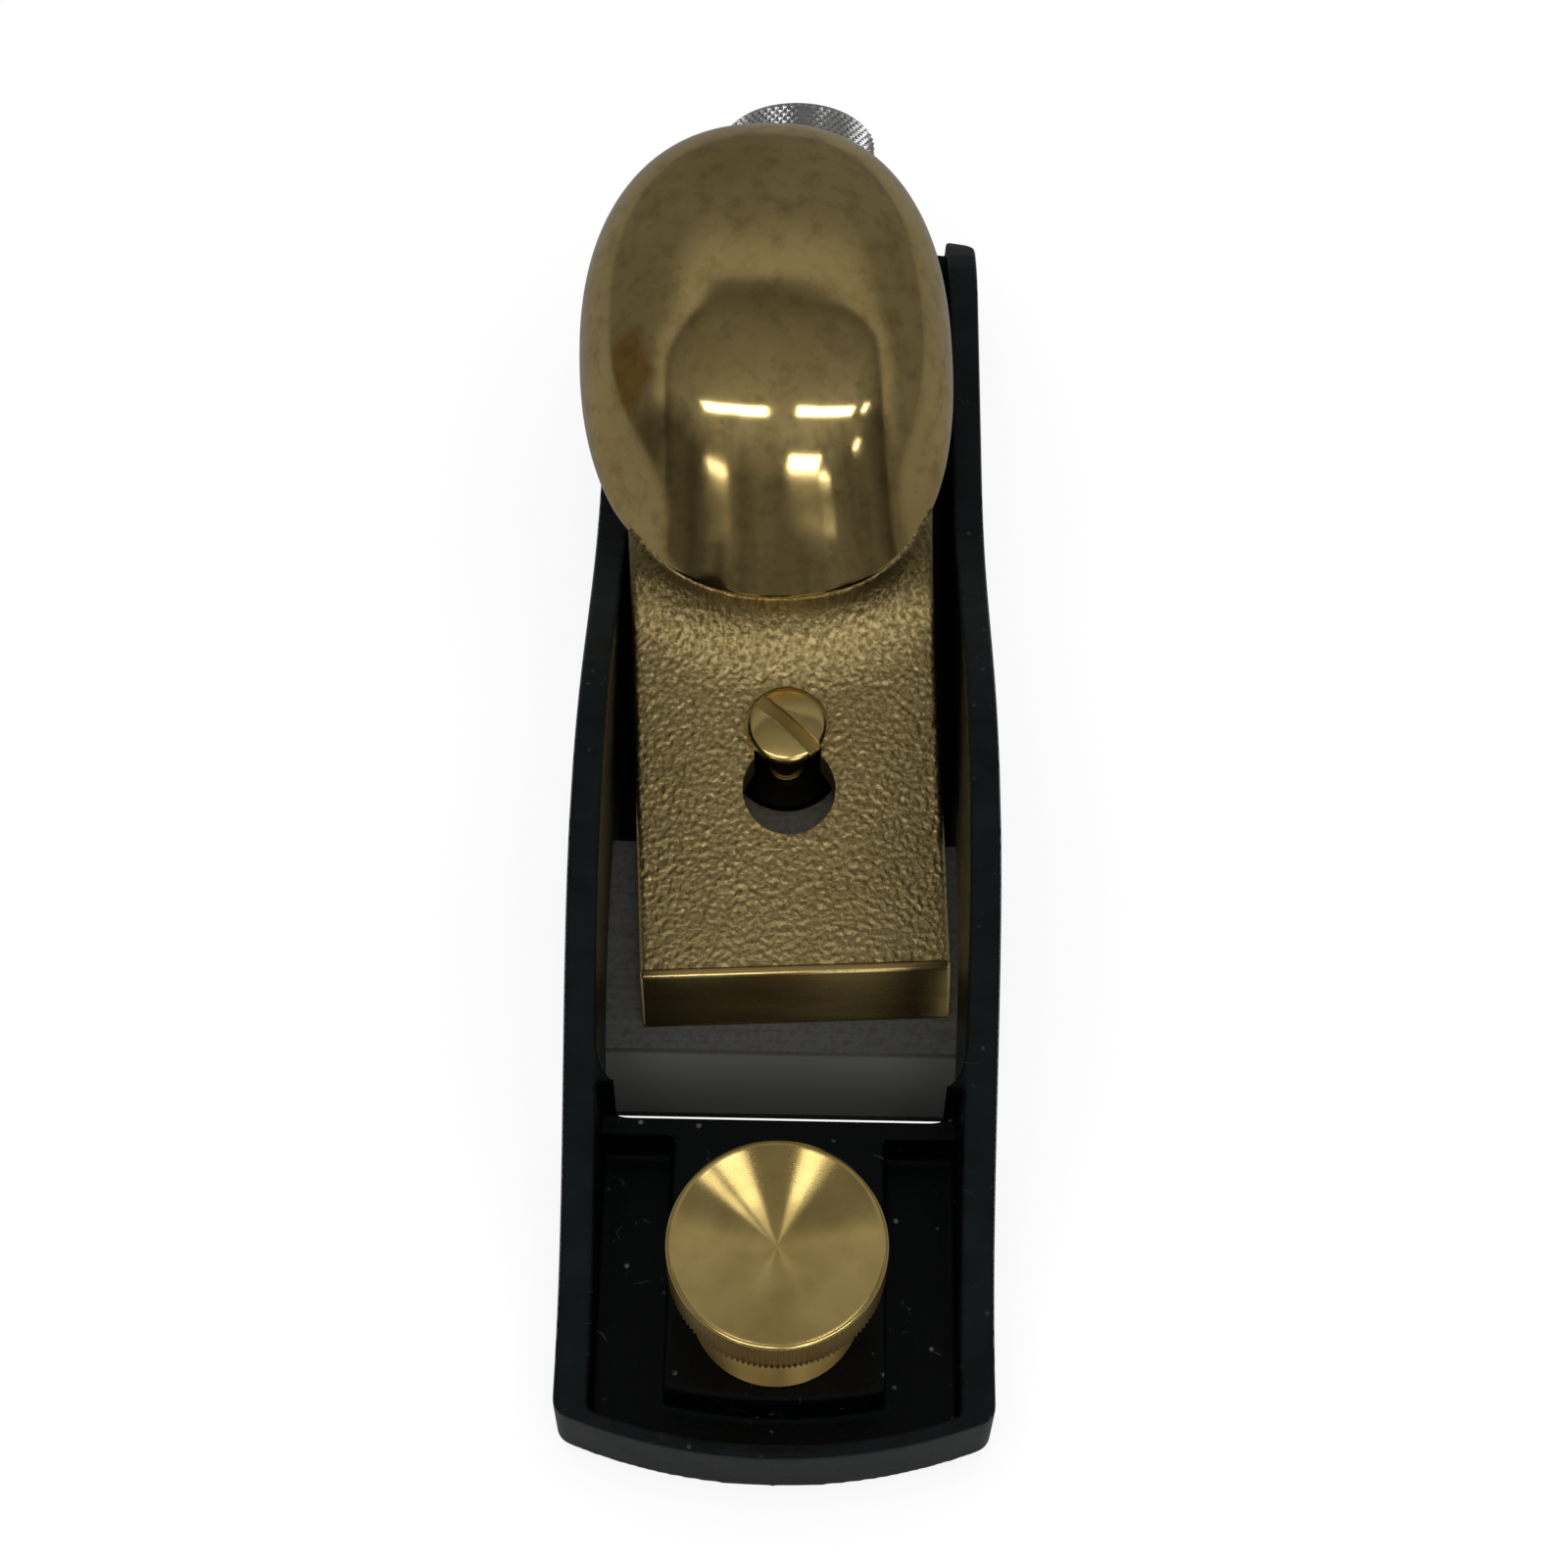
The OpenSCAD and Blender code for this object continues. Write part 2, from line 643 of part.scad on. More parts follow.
module lever_cap_screw() {
    thread_depth = bed_depth(screw_place, sole_thickness / 2) - end_fit;
    head_bottom = cap_top + seat_fit;
    head_top = head_bottom + head_rim + head_rise;
    crown = (screw_head * screw_head / 4 + head_rise * head_rise) / (2 * head_rise);
    color(brass) on_bed() translate([0, screw_place, 0]) difference() {
        union() {
            translate([0, 0, -thread_depth]) cylinder(d = thread_diameter, h = thread_depth - boss_drop);
            translate([0, 0, -thread_depth]) cylinder(d = shank_diameter, h = thread_depth + head_bottom + cut);
            intersection() {
                translate([0, 0, head_bottom]) cylinder(d = screw_head, h = head_rim + head_rise);
                translate([0, 0, head_top - crown]) sphere(r = crown);
            }
        }
        rotate([0, 0, driver_turn]) translate([-screw_head, -driver_slot / 2, head_top - driver_depth])
            cube([2 * screw_head, driver_slot, driver_depth + cut]);
    }
}

module spin_wheel() {
    color(brass) on_cap() translate([0, spin_place, spin_bottom]) difference() {
        chamfered_disc(spin_diameter / 2, spin_thickness, spin_chamfer);
        translate([0, 0, -cut]) cylinder(r = clamp_bore, h = spin_thickness + 2 * cut);
    }
}

module spin_screw() {
    color(steel) on_cap() translate([0, spin_place, iron_thickness])
        cylinder(d = clamp_diameter, h = clamp_length);
}

module adjuster_wheel() {
    color(steel) on_bed() difference() {
        translate([0, wheel_place, -adjuster_drop]) rotate([-90, 0, 0])
            chamfered_disc(adjuster_diameter / 2, adjuster_length, adjuster_chamfer);
        bed_bar(spindle_bore, wheel_place - cut, adjuster_length + 2 * cut);
    }
}

module adjuster_spindle() {
    color(steel) on_bed() {
        bed_bar(spindle_diameter / 2, collar_place - spindle_length,
            spindle_length + collar_thickness + neck_length + adjuster_length);
        bed_bar(collar_diameter / 2, collar_place, collar_thickness);
        bed_bar(neck_diameter / 2, collar_place, collar_thickness + neck_length);
    }
}

body();
toe_plate();
toe_stud();
toe_knob();
blade();
lever_cap();
lever_cap_screw();
spin_wheel();
spin_screw();
adjuster_wheel();
adjuster_spindle();
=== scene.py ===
import math
import bpy
from mathutils import Matrix, Vector
from mathutils import noise as sandNoise


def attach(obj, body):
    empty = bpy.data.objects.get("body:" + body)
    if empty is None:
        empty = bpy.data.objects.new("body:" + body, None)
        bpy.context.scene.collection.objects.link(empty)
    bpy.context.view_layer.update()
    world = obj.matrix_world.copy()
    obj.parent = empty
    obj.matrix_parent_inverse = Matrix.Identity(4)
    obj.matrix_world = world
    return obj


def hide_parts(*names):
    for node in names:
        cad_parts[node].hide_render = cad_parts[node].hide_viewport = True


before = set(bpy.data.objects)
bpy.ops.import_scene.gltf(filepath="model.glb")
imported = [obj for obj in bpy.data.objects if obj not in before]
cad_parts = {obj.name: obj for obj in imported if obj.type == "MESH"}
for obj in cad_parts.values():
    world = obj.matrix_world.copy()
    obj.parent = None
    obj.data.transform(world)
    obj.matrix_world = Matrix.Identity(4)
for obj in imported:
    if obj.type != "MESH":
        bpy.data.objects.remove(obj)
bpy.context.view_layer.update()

# sizes of pieces are in millimetres and angles in degrees; finishes, lights and sizes times mm are in metres
mm = 0.001
edgeY = -38.05 * mm              # cutting edge
bedAngle = math.radians(12)
capSkew = math.radians(3)
screwPlace = 41.3 * mm           # lever cap screw, back from the edge
knobPlace = (0, -63.75 * mm)     # the knob's axis
fineGap = 1e-6                   # points this near to each other are one
looseGap = 2e-6
flatAngle = 0.4                  # triangles that differ less than this are one flat
pointRadius = 0.02               # a turned tip narrows to this before it closes
threadSteps = 40                 # points in a turn of thread

# on the bed Y runs back from the edge and Z stands up from the bed; the cap is turned on it
bedFrame = Matrix.Translation((0, edgeY, 0)) @ Matrix.Rotation(bedAngle, 4, 'X')
capFrame = (bedFrame @ Matrix.Translation((0, screwPlace, 0)) @ Matrix.Rotation(capSkew, 4, 'Z')
            @ Matrix.Translation((0, -screwPlace, 0)))


def clearHands():
    if bpy.context.mode != 'OBJECT':
        bpy.ops.object.mode_set(mode='OBJECT')
    bpy.ops.object.select_all(action='DESELECT')


def takeUp(piece):
    clearHands()
    piece.select_set(True)
    bpy.context.view_layer.objects.active = piece


def named(name):
    piece = bpy.context.object
    piece.name = name
    piece.data.name = name
    bpy.ops.object.transform_apply(location=True, rotation=True, scale=True)
    return piece


def pickPoints(piece, test):
    takeUp(piece)
    bpy.ops.object.mode_set(mode='EDIT')
    bpy.ops.mesh.select_mode(type='VERT')
    bpy.ops.mesh.select_all(action='DESELECT')
    bpy.ops.object.mode_set(mode='OBJECT')
    for point in piece.data.vertices:
        point.select = bool(test(point.co))
    bpy.ops.object.mode_set(mode='EDIT')


def finishWith(piece, kind, **settings):
    takeUp(piece)
    modifier = piece.modifiers.new(kind.lower(), kind)
    for key, value in settings.items():
        setattr(modifier, key, value)
    bpy.ops.object.modifier_apply(modifier=modifier.name)


def carve(piece, tool, how='DIFFERENCE', finish=None):
    if finish or not tool.data.materials:
        tool.data.materials.append(finish or piece.data.materials[0])
    finishWith(piece, 'BOOLEAN', object=tool, operation=how, solver='EXACT', material_mode='TRANSFER')
    bpy.data.objects.remove(tool)


def closeUp(piece):
    takeUp(piece)
    bpy.ops.object.mode_set(mode='EDIT')
    bpy.ops.mesh.select_all(action='SELECT')
    bpy.ops.mesh.remove_doubles(threshold=fineGap)
    bpy.ops.mesh.normals_make_consistent(inside=False)
    bpy.ops.object.mode_set(mode='OBJECT')


def seat(piece, place):
    takeUp(piece)
    piece.matrix_world = place
    bpy.ops.object.transform_apply(location=True, rotation=True, scale=True)


def smoothBy(piece, degrees):
    takeUp(piece)
    bpy.ops.object.shade_smooth_by_angle(angle=math.radians(degrees))


def joinTo(piece, others):
    takeUp(piece)
    for other in others:
        other.select_set(True)
    bpy.ops.object.join()
    return piece


def copyNode(node, name):
    # a copy of a solid's mesh, with its loose triangles merged and its flats made whole
    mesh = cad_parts[node].data.copy()
    mesh.name = name
    mesh.materials.clear()
    piece = bpy.data.objects.new(name, mesh)
    bpy.context.collection.objects.link(piece)
    takeUp(piece)
    bpy.ops.mesh.customdata_custom_splitnormals_clear()
    bpy.ops.object.mode_set(mode='EDIT')
    bpy.ops.mesh.select_all(action='SELECT')
    bpy.ops.mesh.remove_doubles(threshold=looseGap)
    bpy.ops.mesh.dissolve_limited(angle_limit=math.radians(flatAngle))
    bpy.ops.object.mode_set(mode='OBJECT')
    return piece


def easedCopy(node, name, look, finish):
    # a copy with its corners broken and its flats kept flat
    piece = copyNode(node, name)
    finishWith(piece, 'BEVEL', width=look["edge"], segments=2, limit_method='ANGLE',
               angle_limit=math.radians(look["corner"]), use_clamp_overlap=False)
    closeUp(piece)
    piece.data.materials.append(finish)
    smoothBy(piece, look["smooth"])
    finishWith(piece, 'WEIGHTED_NORMAL', weight=80, keep_sharp=True)
    return piece


def turned(name, profile, sides):
    # lathe work: a closed foot, then ring after ring drawn up and scaled
    clearHands()
    radius, height = profile[0]
    bpy.ops.mesh.primitive_circle_add(vertices=sides, radius=radius * mm, fill_type='NGON',
                                      location=(0, 0, height * mm))
    piece = named(name)
    bpy.ops.object.mode_set(mode='EDIT')
    bpy.ops.mesh.select_all(action='SELECT')
    for nextRadius, nextHeight in profile[1:]:
        step = (0, 0, (nextHeight - height) * mm)
        bpy.ops.mesh.extrude_region_move(TRANSFORM_OT_translate={"value": step})
        factor = max(nextRadius, pointRadius) / radius
        bpy.ops.transform.resize(value=(factor, factor, 1), center_override=(0, 0, nextHeight * mm))
        radius, height = max(nextRadius, pointRadius), nextHeight
    if profile[-1][0] == 0:
        bpy.ops.mesh.merge(type='CENTER')
    bpy.ops.mesh.select_all(action='SELECT')
    bpy.ops.mesh.normals_make_consistent(inside=False)
    bpy.ops.object.mode_set(mode='OBJECT')
    return piece


def peg(name, radius, low, high, place=(0, 0), sides=96):
    clearHands()
    bpy.ops.mesh.primitive_cylinder_add(vertices=sides, radius=radius * mm, depth=(high - low) * mm,
                                        location=(place[0] * mm, place[1] * mm, (low + high) / 2 * mm))
    return named(name)


def bar(name, low, high):
    clearHands()
    middle = [(a + b) / 2 * mm for a, b in zip(low, high)]
    bpy.ops.mesh.primitive_cube_add(size=1, location=middle,
                                    scale=[(b - a) * mm for a, b in zip(low, high)])
    return named(name)


def threadBar(name, radius, pitch, low, high, depth):
    # one V of thread, wound up by the screw modifier and cut off square at both ends
    clearHands()
    bpy.ops.mesh.primitive_plane_add(size=1)
    piece = named(name)
    pickPoints(piece, lambda co: co.x > 0 and co.y > 0)
    bpy.ops.mesh.delete(type='VERT')
    bpy.ops.object.mode_set(mode='OBJECT')
    root = radius - depth
    shape = {(False, True): (root, 0.5), (False, False): (radius, 0), (True, False): (root, -0.5)}
    for point in piece.data.vertices:
        out, turn = shape[(point.co.x > 0, point.co.y > 0)]
        point.co = (out * mm, 0, (low + (turn - 1) * pitch) * mm)
    turns = math.ceil((high - low) / pitch) + 3
    finishWith(piece, 'SCREW', axis='Z', screw_offset=pitch * mm, iterations=turns, steps=threadSteps,
               render_steps=threadSteps, use_merge_vertices=True, merge_threshold=fineGap)
    for level, side in ((low, -1), (high, 1)):
        takeUp(piece)
        bpy.ops.object.mode_set(mode='EDIT')
        bpy.ops.mesh.select_all(action='SELECT')
        bpy.ops.mesh.remove_doubles(threshold=looseGap)
        bpy.ops.mesh.bisect(plane_co=(0, 0, level * mm), plane_no=(0, 0, side), use_fill=True,
                            clear_outer=True)
        bpy.ops.object.mode_set(mode='OBJECT')
    closeUp(piece)
    return piece


def knurlRings(low, high, rows):
    return [low + (high - low) * i / rows for i in range(rows + 1)]


def knurl(piece, radius, levels, depth, sides, diamond=False):
    # every other point of the band is pressed in; from row to row the points change over for diamonds
    step = 2 * math.pi / sides
    nearBand, nearRow = 0.02 * mm, 0.01 * mm

    def pressed(co):
        if abs(co.xy.length - radius * mm) > nearBand:
            return False
        row = [i for i, level in enumerate(levels) if abs(co.z - level * mm) < nearRow]
        if not row:
            return False
        return (round(math.atan2(co.y, co.x) / step) + (row[0] if diamond else 0)) % 2

    pickPoints(piece, pressed)
    factor = 1 - depth / radius
    bpy.ops.transform.resize(value=(factor, factor, 1), center_override=(0, 0, 0))
    bpy.ops.object.mode_set(mode='OBJECT')


# finishes

def newFinish(name, **sockets):
    finish = bpy.data.materials.new(name)
    finish.use_nodes = True
    tree = finish.node_tree
    shader = tree.nodes["Principled BSDF"]
    for key, value in sockets.items():
        shader.inputs[key].default_value = value
    return finish, tree, shader


def add(tree, kind, inputs=None, **settings):
    node = tree.nodes.new("ShaderNode" + kind)
    for key, value in settings.items():
        setattr(node, key, value)
    for key, value in (inputs or {}).items():
        node.inputs[key].default_value = value
    return node


def objectSpace(tree, location=(0, 0, 0), rotation=(0, 0, 0), scale=(1, 1, 1)):
    where = add(tree, "TexCoord")
    mapping = add(tree, "Mapping", {"Location": location, "Rotation": rotation, "Scale": scale})
    tree.links.new(where.outputs["Object"], mapping.inputs["Vector"])
    return mapping.outputs["Vector"]


def axes(tree, vector):
    split = add(tree, "SeparateXYZ")
    tree.links.new(vector, split.inputs["Vector"])
    return split.outputs["X"], split.outputs["Y"], split.outputs["Z"]


def noise(tree, space, scale, detail=3, roughness=0.55):
    node = add(tree, "TexNoise", {"Scale": scale, "Detail": detail, "Roughness": roughness})
    tree.links.new(space, node.inputs["Vector"])
    return node.outputs["Fac"]


def remap(tree, value, low, high, toLow, toHigh):
    node = add(tree, "MapRange", {"From Min": low, "From Max": high, "To Min": toLow, "To Max": toHigh})
    tree.links.new(value, node.inputs["Value"])
    return node.outputs["Result"]


def calc(tree, operation, *values):
    node = add(tree, "Math", operation=operation)
    for socket, value in zip(node.inputs, values):
        if hasattr(value, "links"):
            tree.links.new(value, socket)
        else:
            socket.default_value = value
    return node.outputs[0]


def blendColors(tree, factor, first, second, how='MIX'):
    node = add(tree, "Mix", data_type='RGBA', blend_type=how)
    for socket, color in ((node.inputs[6], first), (node.inputs[7], second)):
        if hasattr(color, "links"):
            tree.links.new(color, socket)
        else:
            socket.default_value = (*color, 1)
    tree.links.new(factor, node.inputs[0])
    return node.outputs[2]


def bumps(tree, shader, height, distance, strength=1.0):
    node = add(tree, "Bump", {"Distance": distance, "Strength": strength})
    tree.links.new(height, node.inputs["Height"])
    tree.links.new(node.outputs["Normal"], shader.inputs["Normal"])


japanLook = {"wall": 18.85 * mm, "rim": 55.35 * mm, "noseMiddle": -21.62 * mm, "soft": 0.35 * mm,
             "specular": 0.2, "gloss": (0.24, 0.32), "floorGloss": 0.16,
             "clouds": 260, "grain": 1700, "grainDepth": 0.00009, "wallGrain": 0.14,
             "satin": (0.0042, 0.0062, 0.0066), "satinCloud": 1.9,
             "rough": (0.0006, 0.0010, 0.0011), "roughCloud": 2.2,
             "dust": (0.20, 0.195, 0.18), "dustOn": (0.22, 0.75),
             "specks": 400, "speckSize": (0.06, 0.13), "hairs": 210, "hairWidth": (0.0012, 0.004)}


def japanFinish(name):
    # satin on the walls and the nose, rough and dusty on the floor between them
    j = japanLook
    finish, tree, shader = newFinish(name, **{"Specular IOR Level": j["specular"]})
    space = objectSpace(tree)
    x, y = axes(tree, space)[:2]
    across = calc(tree, 'ABSOLUTE', x)
    forward = calc(tree, 'MINIMUM', calc(tree, 'SUBTRACT', y, j["noseMiddle"]), 0.0)
    squares = calc(tree, 'MULTIPLY_ADD', across, across, calc(tree, 'MULTIPLY', forward, forward))
    reach = calc(tree, 'SQRT', squares)
    between = remap(tree, across, j["wall"] - j["soft"], j["wall"] + j["soft"], 1, 0)
    behindNose = remap(tree, reach, j["rim"] - j["soft"], j["rim"] + j["soft"], 1, 0)
    inside = calc(tree, 'MULTIPLY', between, behindNose)
    clouds = noise(tree, space, j["clouds"], 4)
    cloudy = remap(tree, clouds, 0.35, 0.75, 0, 1)
    satin = blendColors(tree, cloudy, j["satin"], [c * j["satinCloud"] for c in j["satin"]])
    rough = blendColors(tree, cloudy, j["rough"], [c * j["roughCloud"] for c in j["rough"]])
    color = blendColors(tree, inside, satin, rough)
    # dust: round specks and a few short hairs, mostly on the floor
    cells = add(tree, "TexVoronoi", {"Scale": j["specks"]})
    tree.links.new(space, cells.inputs["Vector"])
    speck = remap(tree, cells.outputs["Distance"], *j["speckSize"], 1, 0)
    chosen = remap(tree, noise(tree, space, 900, 2), 0.45, 0.56, 0, 1)
    winding = calc(tree, 'ABSOLUTE', calc(tree, 'SUBTRACT', noise(tree, space, j["hairs"], 1), 0.5))
    hairs = remap(tree, winding, *j["hairWidth"], 1, 0)
    somewhere = remap(tree, noise(tree, space, 330, 2), 0.6, 0.66, 0, 0.6)
    specks = calc(tree, 'MULTIPLY', speck, chosen)
    loose = calc(tree, 'MAXIMUM', specks, calc(tree, 'MULTIPLY', hairs, somewhere))
    dusty = calc(tree, 'MULTIPLY', loose, remap(tree, inside, 0, 1, *j["dustOn"]))
    tree.links.new(blendColors(tree, dusty, color, j["dust"]), shader.inputs["Base Color"])
    gloss = remap(tree, clouds, 0.3, 0.7, *j["gloss"])
    gloss = calc(tree, 'MULTIPLY_ADD', inside, j["floorGloss"], gloss)
    tree.links.new(gloss, shader.inputs["Roughness"])
    grain = noise(tree, space, j["grain"], 4, 0.6)
    grain = calc(tree, 'MULTIPLY', grain, remap(tree, inside, 0, 1, j["wallGrain"], 1.0))
    bumps(tree, shader, grain, j["grainDepth"])
    return finish


groundLook = {"lines": (2200, 40, 2200), "clouds": 120, "anisotropy": 0.4, "gloss": (0.3, 0.44),
              "dark": (0.30, 0.30, 0.30), "light": (0.44, 0.44, 0.435), "stain": (0.22, 0.21, 0.195),
              "lineDepth": 0.00002}


def groundFinish(name):
    # ground faces: long fine lines from toe to heel
    g = groundLook
    finish, tree, shader = newFinish(name, **{"Metallic": 1.0, "Anisotropic": g["anisotropy"]})
    lines = noise(tree, objectSpace(tree, scale=g["lines"]), 1, 3)
    clouds = noise(tree, objectSpace(tree), g["clouds"], 4)
    tone = blendColors(tree, remap(tree, lines, 0.3, 0.7, 0, 1), g["dark"], g["light"])
    tone = blendColors(tree, remap(tree, clouds, 0.5, 0.8, 0, 0.5), tone, g["stain"])
    tree.links.new(tone, shader.inputs["Base Color"])
    tree.links.new(remap(tree, clouds, 0.3, 0.7, *g["gloss"]), shader.inputs["Roughness"])
    bumps(tree, shader, lines, g["lineDepth"], 0.6)
    return finish


castLook = {"pit": (0.32, 0.232, 0.082), "top": (0.74, 0.57, 0.26), "cloud": (0.36, 0.265, 0.10),
            "sweepPaintedShade": (0.46, 0.46, 0.44), "fine": 2600, "fineDepth": 0.00018, "clouds": 140,
            "gloss": (0.5, 0.3)}


def castFinish(name):
    # sand-cast skin: dark in the pits and rubbed bright on the tops of the grain
    s = castLook
    finish, tree, shader = newFinish(name, **{"Metallic": 1.0})
    space = objectSpace(tree)
    height = add(tree, "Attribute", attribute_name="grainHeight").outputs["Fac"]
    fine = noise(tree, space, s["fine"], 3, 0.6)
    clouds = noise(tree, space, s["clouds"], 3)
    worn = calc(tree, 'ADD', height, remap(tree, fine, 0.3, 0.7, -0.3, 0.3))
    tone = blendColors(tree, remap(tree, worn, -0.6, 0.6, 0, 1), s["pit"], s["top"])
    tone = blendColors(tree, remap(tree, clouds, 0.45, 0.8, 0, 0.4), tone, s["cloud"])
    # painted shade: the skin is darkened in the sweep, where it rises to the dome
    sweep = add(tree, "Attribute", attribute_name="sweep").outputs["Fac"]
    tone = blendColors(tree, remap(tree, sweep, 0.22, 0.6, 0, 1), tone, s["sweepPaintedShade"], 'MULTIPLY')
    tree.links.new(tone, shader.inputs["Base Color"])
    tree.links.new(remap(tree, worn, -0.6, 0.6, *s["gloss"]), shader.inputs["Roughness"])
    bumps(tree, shader, fine, s["fineDepth"], 0.8)
    return finish


polishLook = {"patches": 420, "patchTone": 0.72, "scratches": (5200, 160, 900), "scratchTurn": 0.5,
              "scratchDepth": 0.000004}


def polishFinish(name, color, stain, gloss, stainScale=55, stretch=1):
    # hand-polished bronze with a little brown stain and hairline scratches
    p = polishLook
    finish, tree, shader = newFinish(name, **{"Metallic": 1.0})
    space = objectSpace(tree, scale=(1 / stretch, 1, 1))
    clouds = noise(tree, space, stainScale, 5, 0.6)
    patches = noise(tree, space, p["patches"], 4, 0.65)
    tone = blendColors(tree, remap(tree, clouds, 0.42, 0.72, 0, 0.75), color, stain)
    darkest = [c * p["patchTone"] for c in stain]
    tone = blendColors(tree, remap(tree, patches, 0.48, 0.7, 0, 0.55), tone, darkest)
    tree.links.new(tone, shader.inputs["Base Color"])
    tree.links.new(remap(tree, clouds, 0.35, 0.75, *gloss), shader.inputs["Roughness"])
    along = objectSpace(tree, rotation=(0, 0, p["scratchTurn"]), scale=p["scratches"])
    bumps(tree, shader, noise(tree, along, 1, 2), p["scratchDepth"], 0.5)
    return finish


turnedLook = {"clouds": 180, "rings": 1500, "ringDepth": 0.000002, "acrossRings": 0.25}


def turnedFinish(name, color, stain, rough, lathe=0.0, place=None):
    # lathe marks run round the axis, so the shine spreads across them
    t = turnedLook
    finish, tree, shader = newFinish(name, **{"Metallic": 1.0, "Anisotropic": lathe, "Roughness": rough})
    clouds = noise(tree, objectSpace(tree), t["clouds"], 4)
    tone = blendColors(tree, remap(tree, clouds, 0.4, 0.75, 0, 0.8), color, stain)
    tree.links.new(tone, shader.inputs["Base Color"])
    if place:
        tangent = add(tree, "Tangent", direction_type='RADIAL', axis='Z')
        tree.links.new(tangent.outputs["Tangent"], shader.inputs["Tangent"])
        shader.inputs["Anisotropic Rotation"].default_value = t["acrossRings"]
        rings = add(tree, "TexWave", {"Scale": t["rings"], "Distortion": 0.6, "Detail": 2},
                    wave_type='RINGS', rings_direction='Z')
        tree.links.new(objectSpace(tree, location=(-place[0], -place[1], 0)), rings.inputs["Vector"])
        bumps(tree, shader, rings.outputs["Fac"], t["ringDepth"], 0.5)
    return finish


steelLook = {"dark": (0.56, 0.56, 0.545), "light": (0.74, 0.74, 0.725), "gloss": (0.18, 0.28),
             "lines": (60, 3000, 3000), "clouds": 220, "lineDepth": 0.00001}


def steelFinish(name):
    s = steelLook
    finish, tree, shader = newFinish(name, **{"Metallic": 1.0})
    lines = noise(tree, objectSpace(tree, scale=s["lines"]), 1, 3)
    clouds = noise(tree, objectSpace(tree), s["clouds"], 4)
    tone = blendColors(tree, remap(tree, lines, 0.3, 0.7, 0, 1), s["dark"], s["light"])
    tree.links.new(tone, shader.inputs["Base Color"])
    tree.links.new(remap(tree, clouds, 0.3, 0.7, *s["gloss"]), shader.inputs["Roughness"])
    bumps(tree, shader, lines, s["lineDepth"], 0.5)
    return finish


# places on the iron are distances back from its edge
ironLook = {"dark": (0.225, 0.225, 0.21), "light": (0.30, 0.30, 0.28), "lines": (50, 2600, 2600),
            "bevel": (0.48, 0.50, 0.475), "bevelEnd": (0.0063, 0.0066),
            "honedAndHighlight": (0.78, 0.78, 0.76), "honedEnd": (0.00045, 0.0006),
            "dust": (0.17, 0.155, 0.13), "dustStart": (0.0062, 0.0072), "dots": 1500,
            "gloss": (0.46, 0.18), "lineDepth": 0.000008}


def ironFinish(name):
    # ground steel: lines across it, the bevel painted lighter as painted light, a glossier honed strip at
    # the edge painted bright as a painted highlight, dust where the bevel starts
    s = ironLook
    finish, tree, shader = newFinish(name, **{"Metallic": 1.0})
    bed = objectSpace(tree, location=(0, -edgeY * math.cos(bedAngle), edgeY * math.sin(bedAngle)),
                      rotation=(-bedAngle, 0, 0))
    back = axes(tree, bed)[1]
    lines = noise(tree, objectSpace(tree, scale=s["lines"]), 1, 3)
    dots = noise(tree, objectSpace(tree), s["dots"], 3)
    tone = blendColors(tree, remap(tree, lines, 0.3, 0.7, 0, 1), s["dark"], s["light"])
    # painted light: the bevel face is painted lighter than the flat
    tone = blendColors(tree, remap(tree, back, *s["bevelEnd"], 1, 0), tone, s["bevel"])
    # the honed strip is glossier, and is painted bright as a painted highlight
    honedAndHighlight = remap(tree, back, *s["honedEnd"], 1, 0)
    tone = blendColors(tree, honedAndHighlight, tone, s["honedAndHighlight"])
    dusty = remap(tree, dots, 0.5, 0.62, 0, 0.5)
    dusty = calc(tree, 'MULTIPLY', remap(tree, back, *s["dustStart"], 0, 1), dusty)
    tree.links.new(blendColors(tree, dusty, tone, s["dust"]), shader.inputs["Base Color"])
    tree.links.new(remap(tree, honedAndHighlight, 0, 1, *s["gloss"]), shader.inputs["Roughness"])
    bumps(tree, shader, lines, s["lineDepth"], 0.5)
    return finish


brassColor = (0.86, 0.64, 0.235)
brassStainAndShade = (0.60, 0.42, 0.14)
bronzeColor = (0.74, 0.555, 0.225)
bronzeStain = (0.50, 0.355, 0.125)
# darker brass: on the knurled rim, and as painted shade on the foot under the shoulder and in the screw's
# slot
rimDarkTone = (0.42, 0.29, 0.095)
footPaintedShade = (0.45, 0.31, 0.10)
slotPaintedShade = (0.30, 0.20, 0.06)

japan = japanFinish("japan")
groundIron = groundFinish("groundIron")
castBronze = castFinish("castBronze")
polishedBronze = polishFinish("polishedBronze", bronzeColor, bronzeStain, (0.07, 0.15))
polishedBar = polishFinish("polishedBar", bronzeColor, bronzeStain, (0.22, 0.32), 240, 14)
knobBrass = turnedFinish("knobBrass", brassColor, brassStainAndShade, 0.13, 1.0, knobPlace)
rimBrass = turnedFinish("rimBrass", brassStainAndShade, rimDarkTone, 0.3)
# painted shade: the knob's foot, under the shoulder, is darkened brass
footBrass = turnedFinish("footBrass", brassStainAndShade, footPaintedShade, 0.4, 1.0, knobPlace)
ringBrass = turnedFinish("ringBrass", brassColor, brassStainAndShade, 0.16)
# painted shade: the screw's slot is darkened brass
slotBrass = turnedFinish("slotBrass", brassStainAndShade, slotPaintedShade, 0.42)
brightBrass = turnedFinish("brightBrass", brassColor, brassStainAndShade, 0.2)
bladeSteel = ironFinish("bladeSteel")
knurledSteel = steelFinish("knurledSteel")
print("finishes made")

# body

bodyLook = {"grain": 0.25 * mm, "soften": 12, "triangles": 180000,
            "sideFrom": 22.0 * mm, "soleUnder": 0.2 * mm, "square": 0.8}


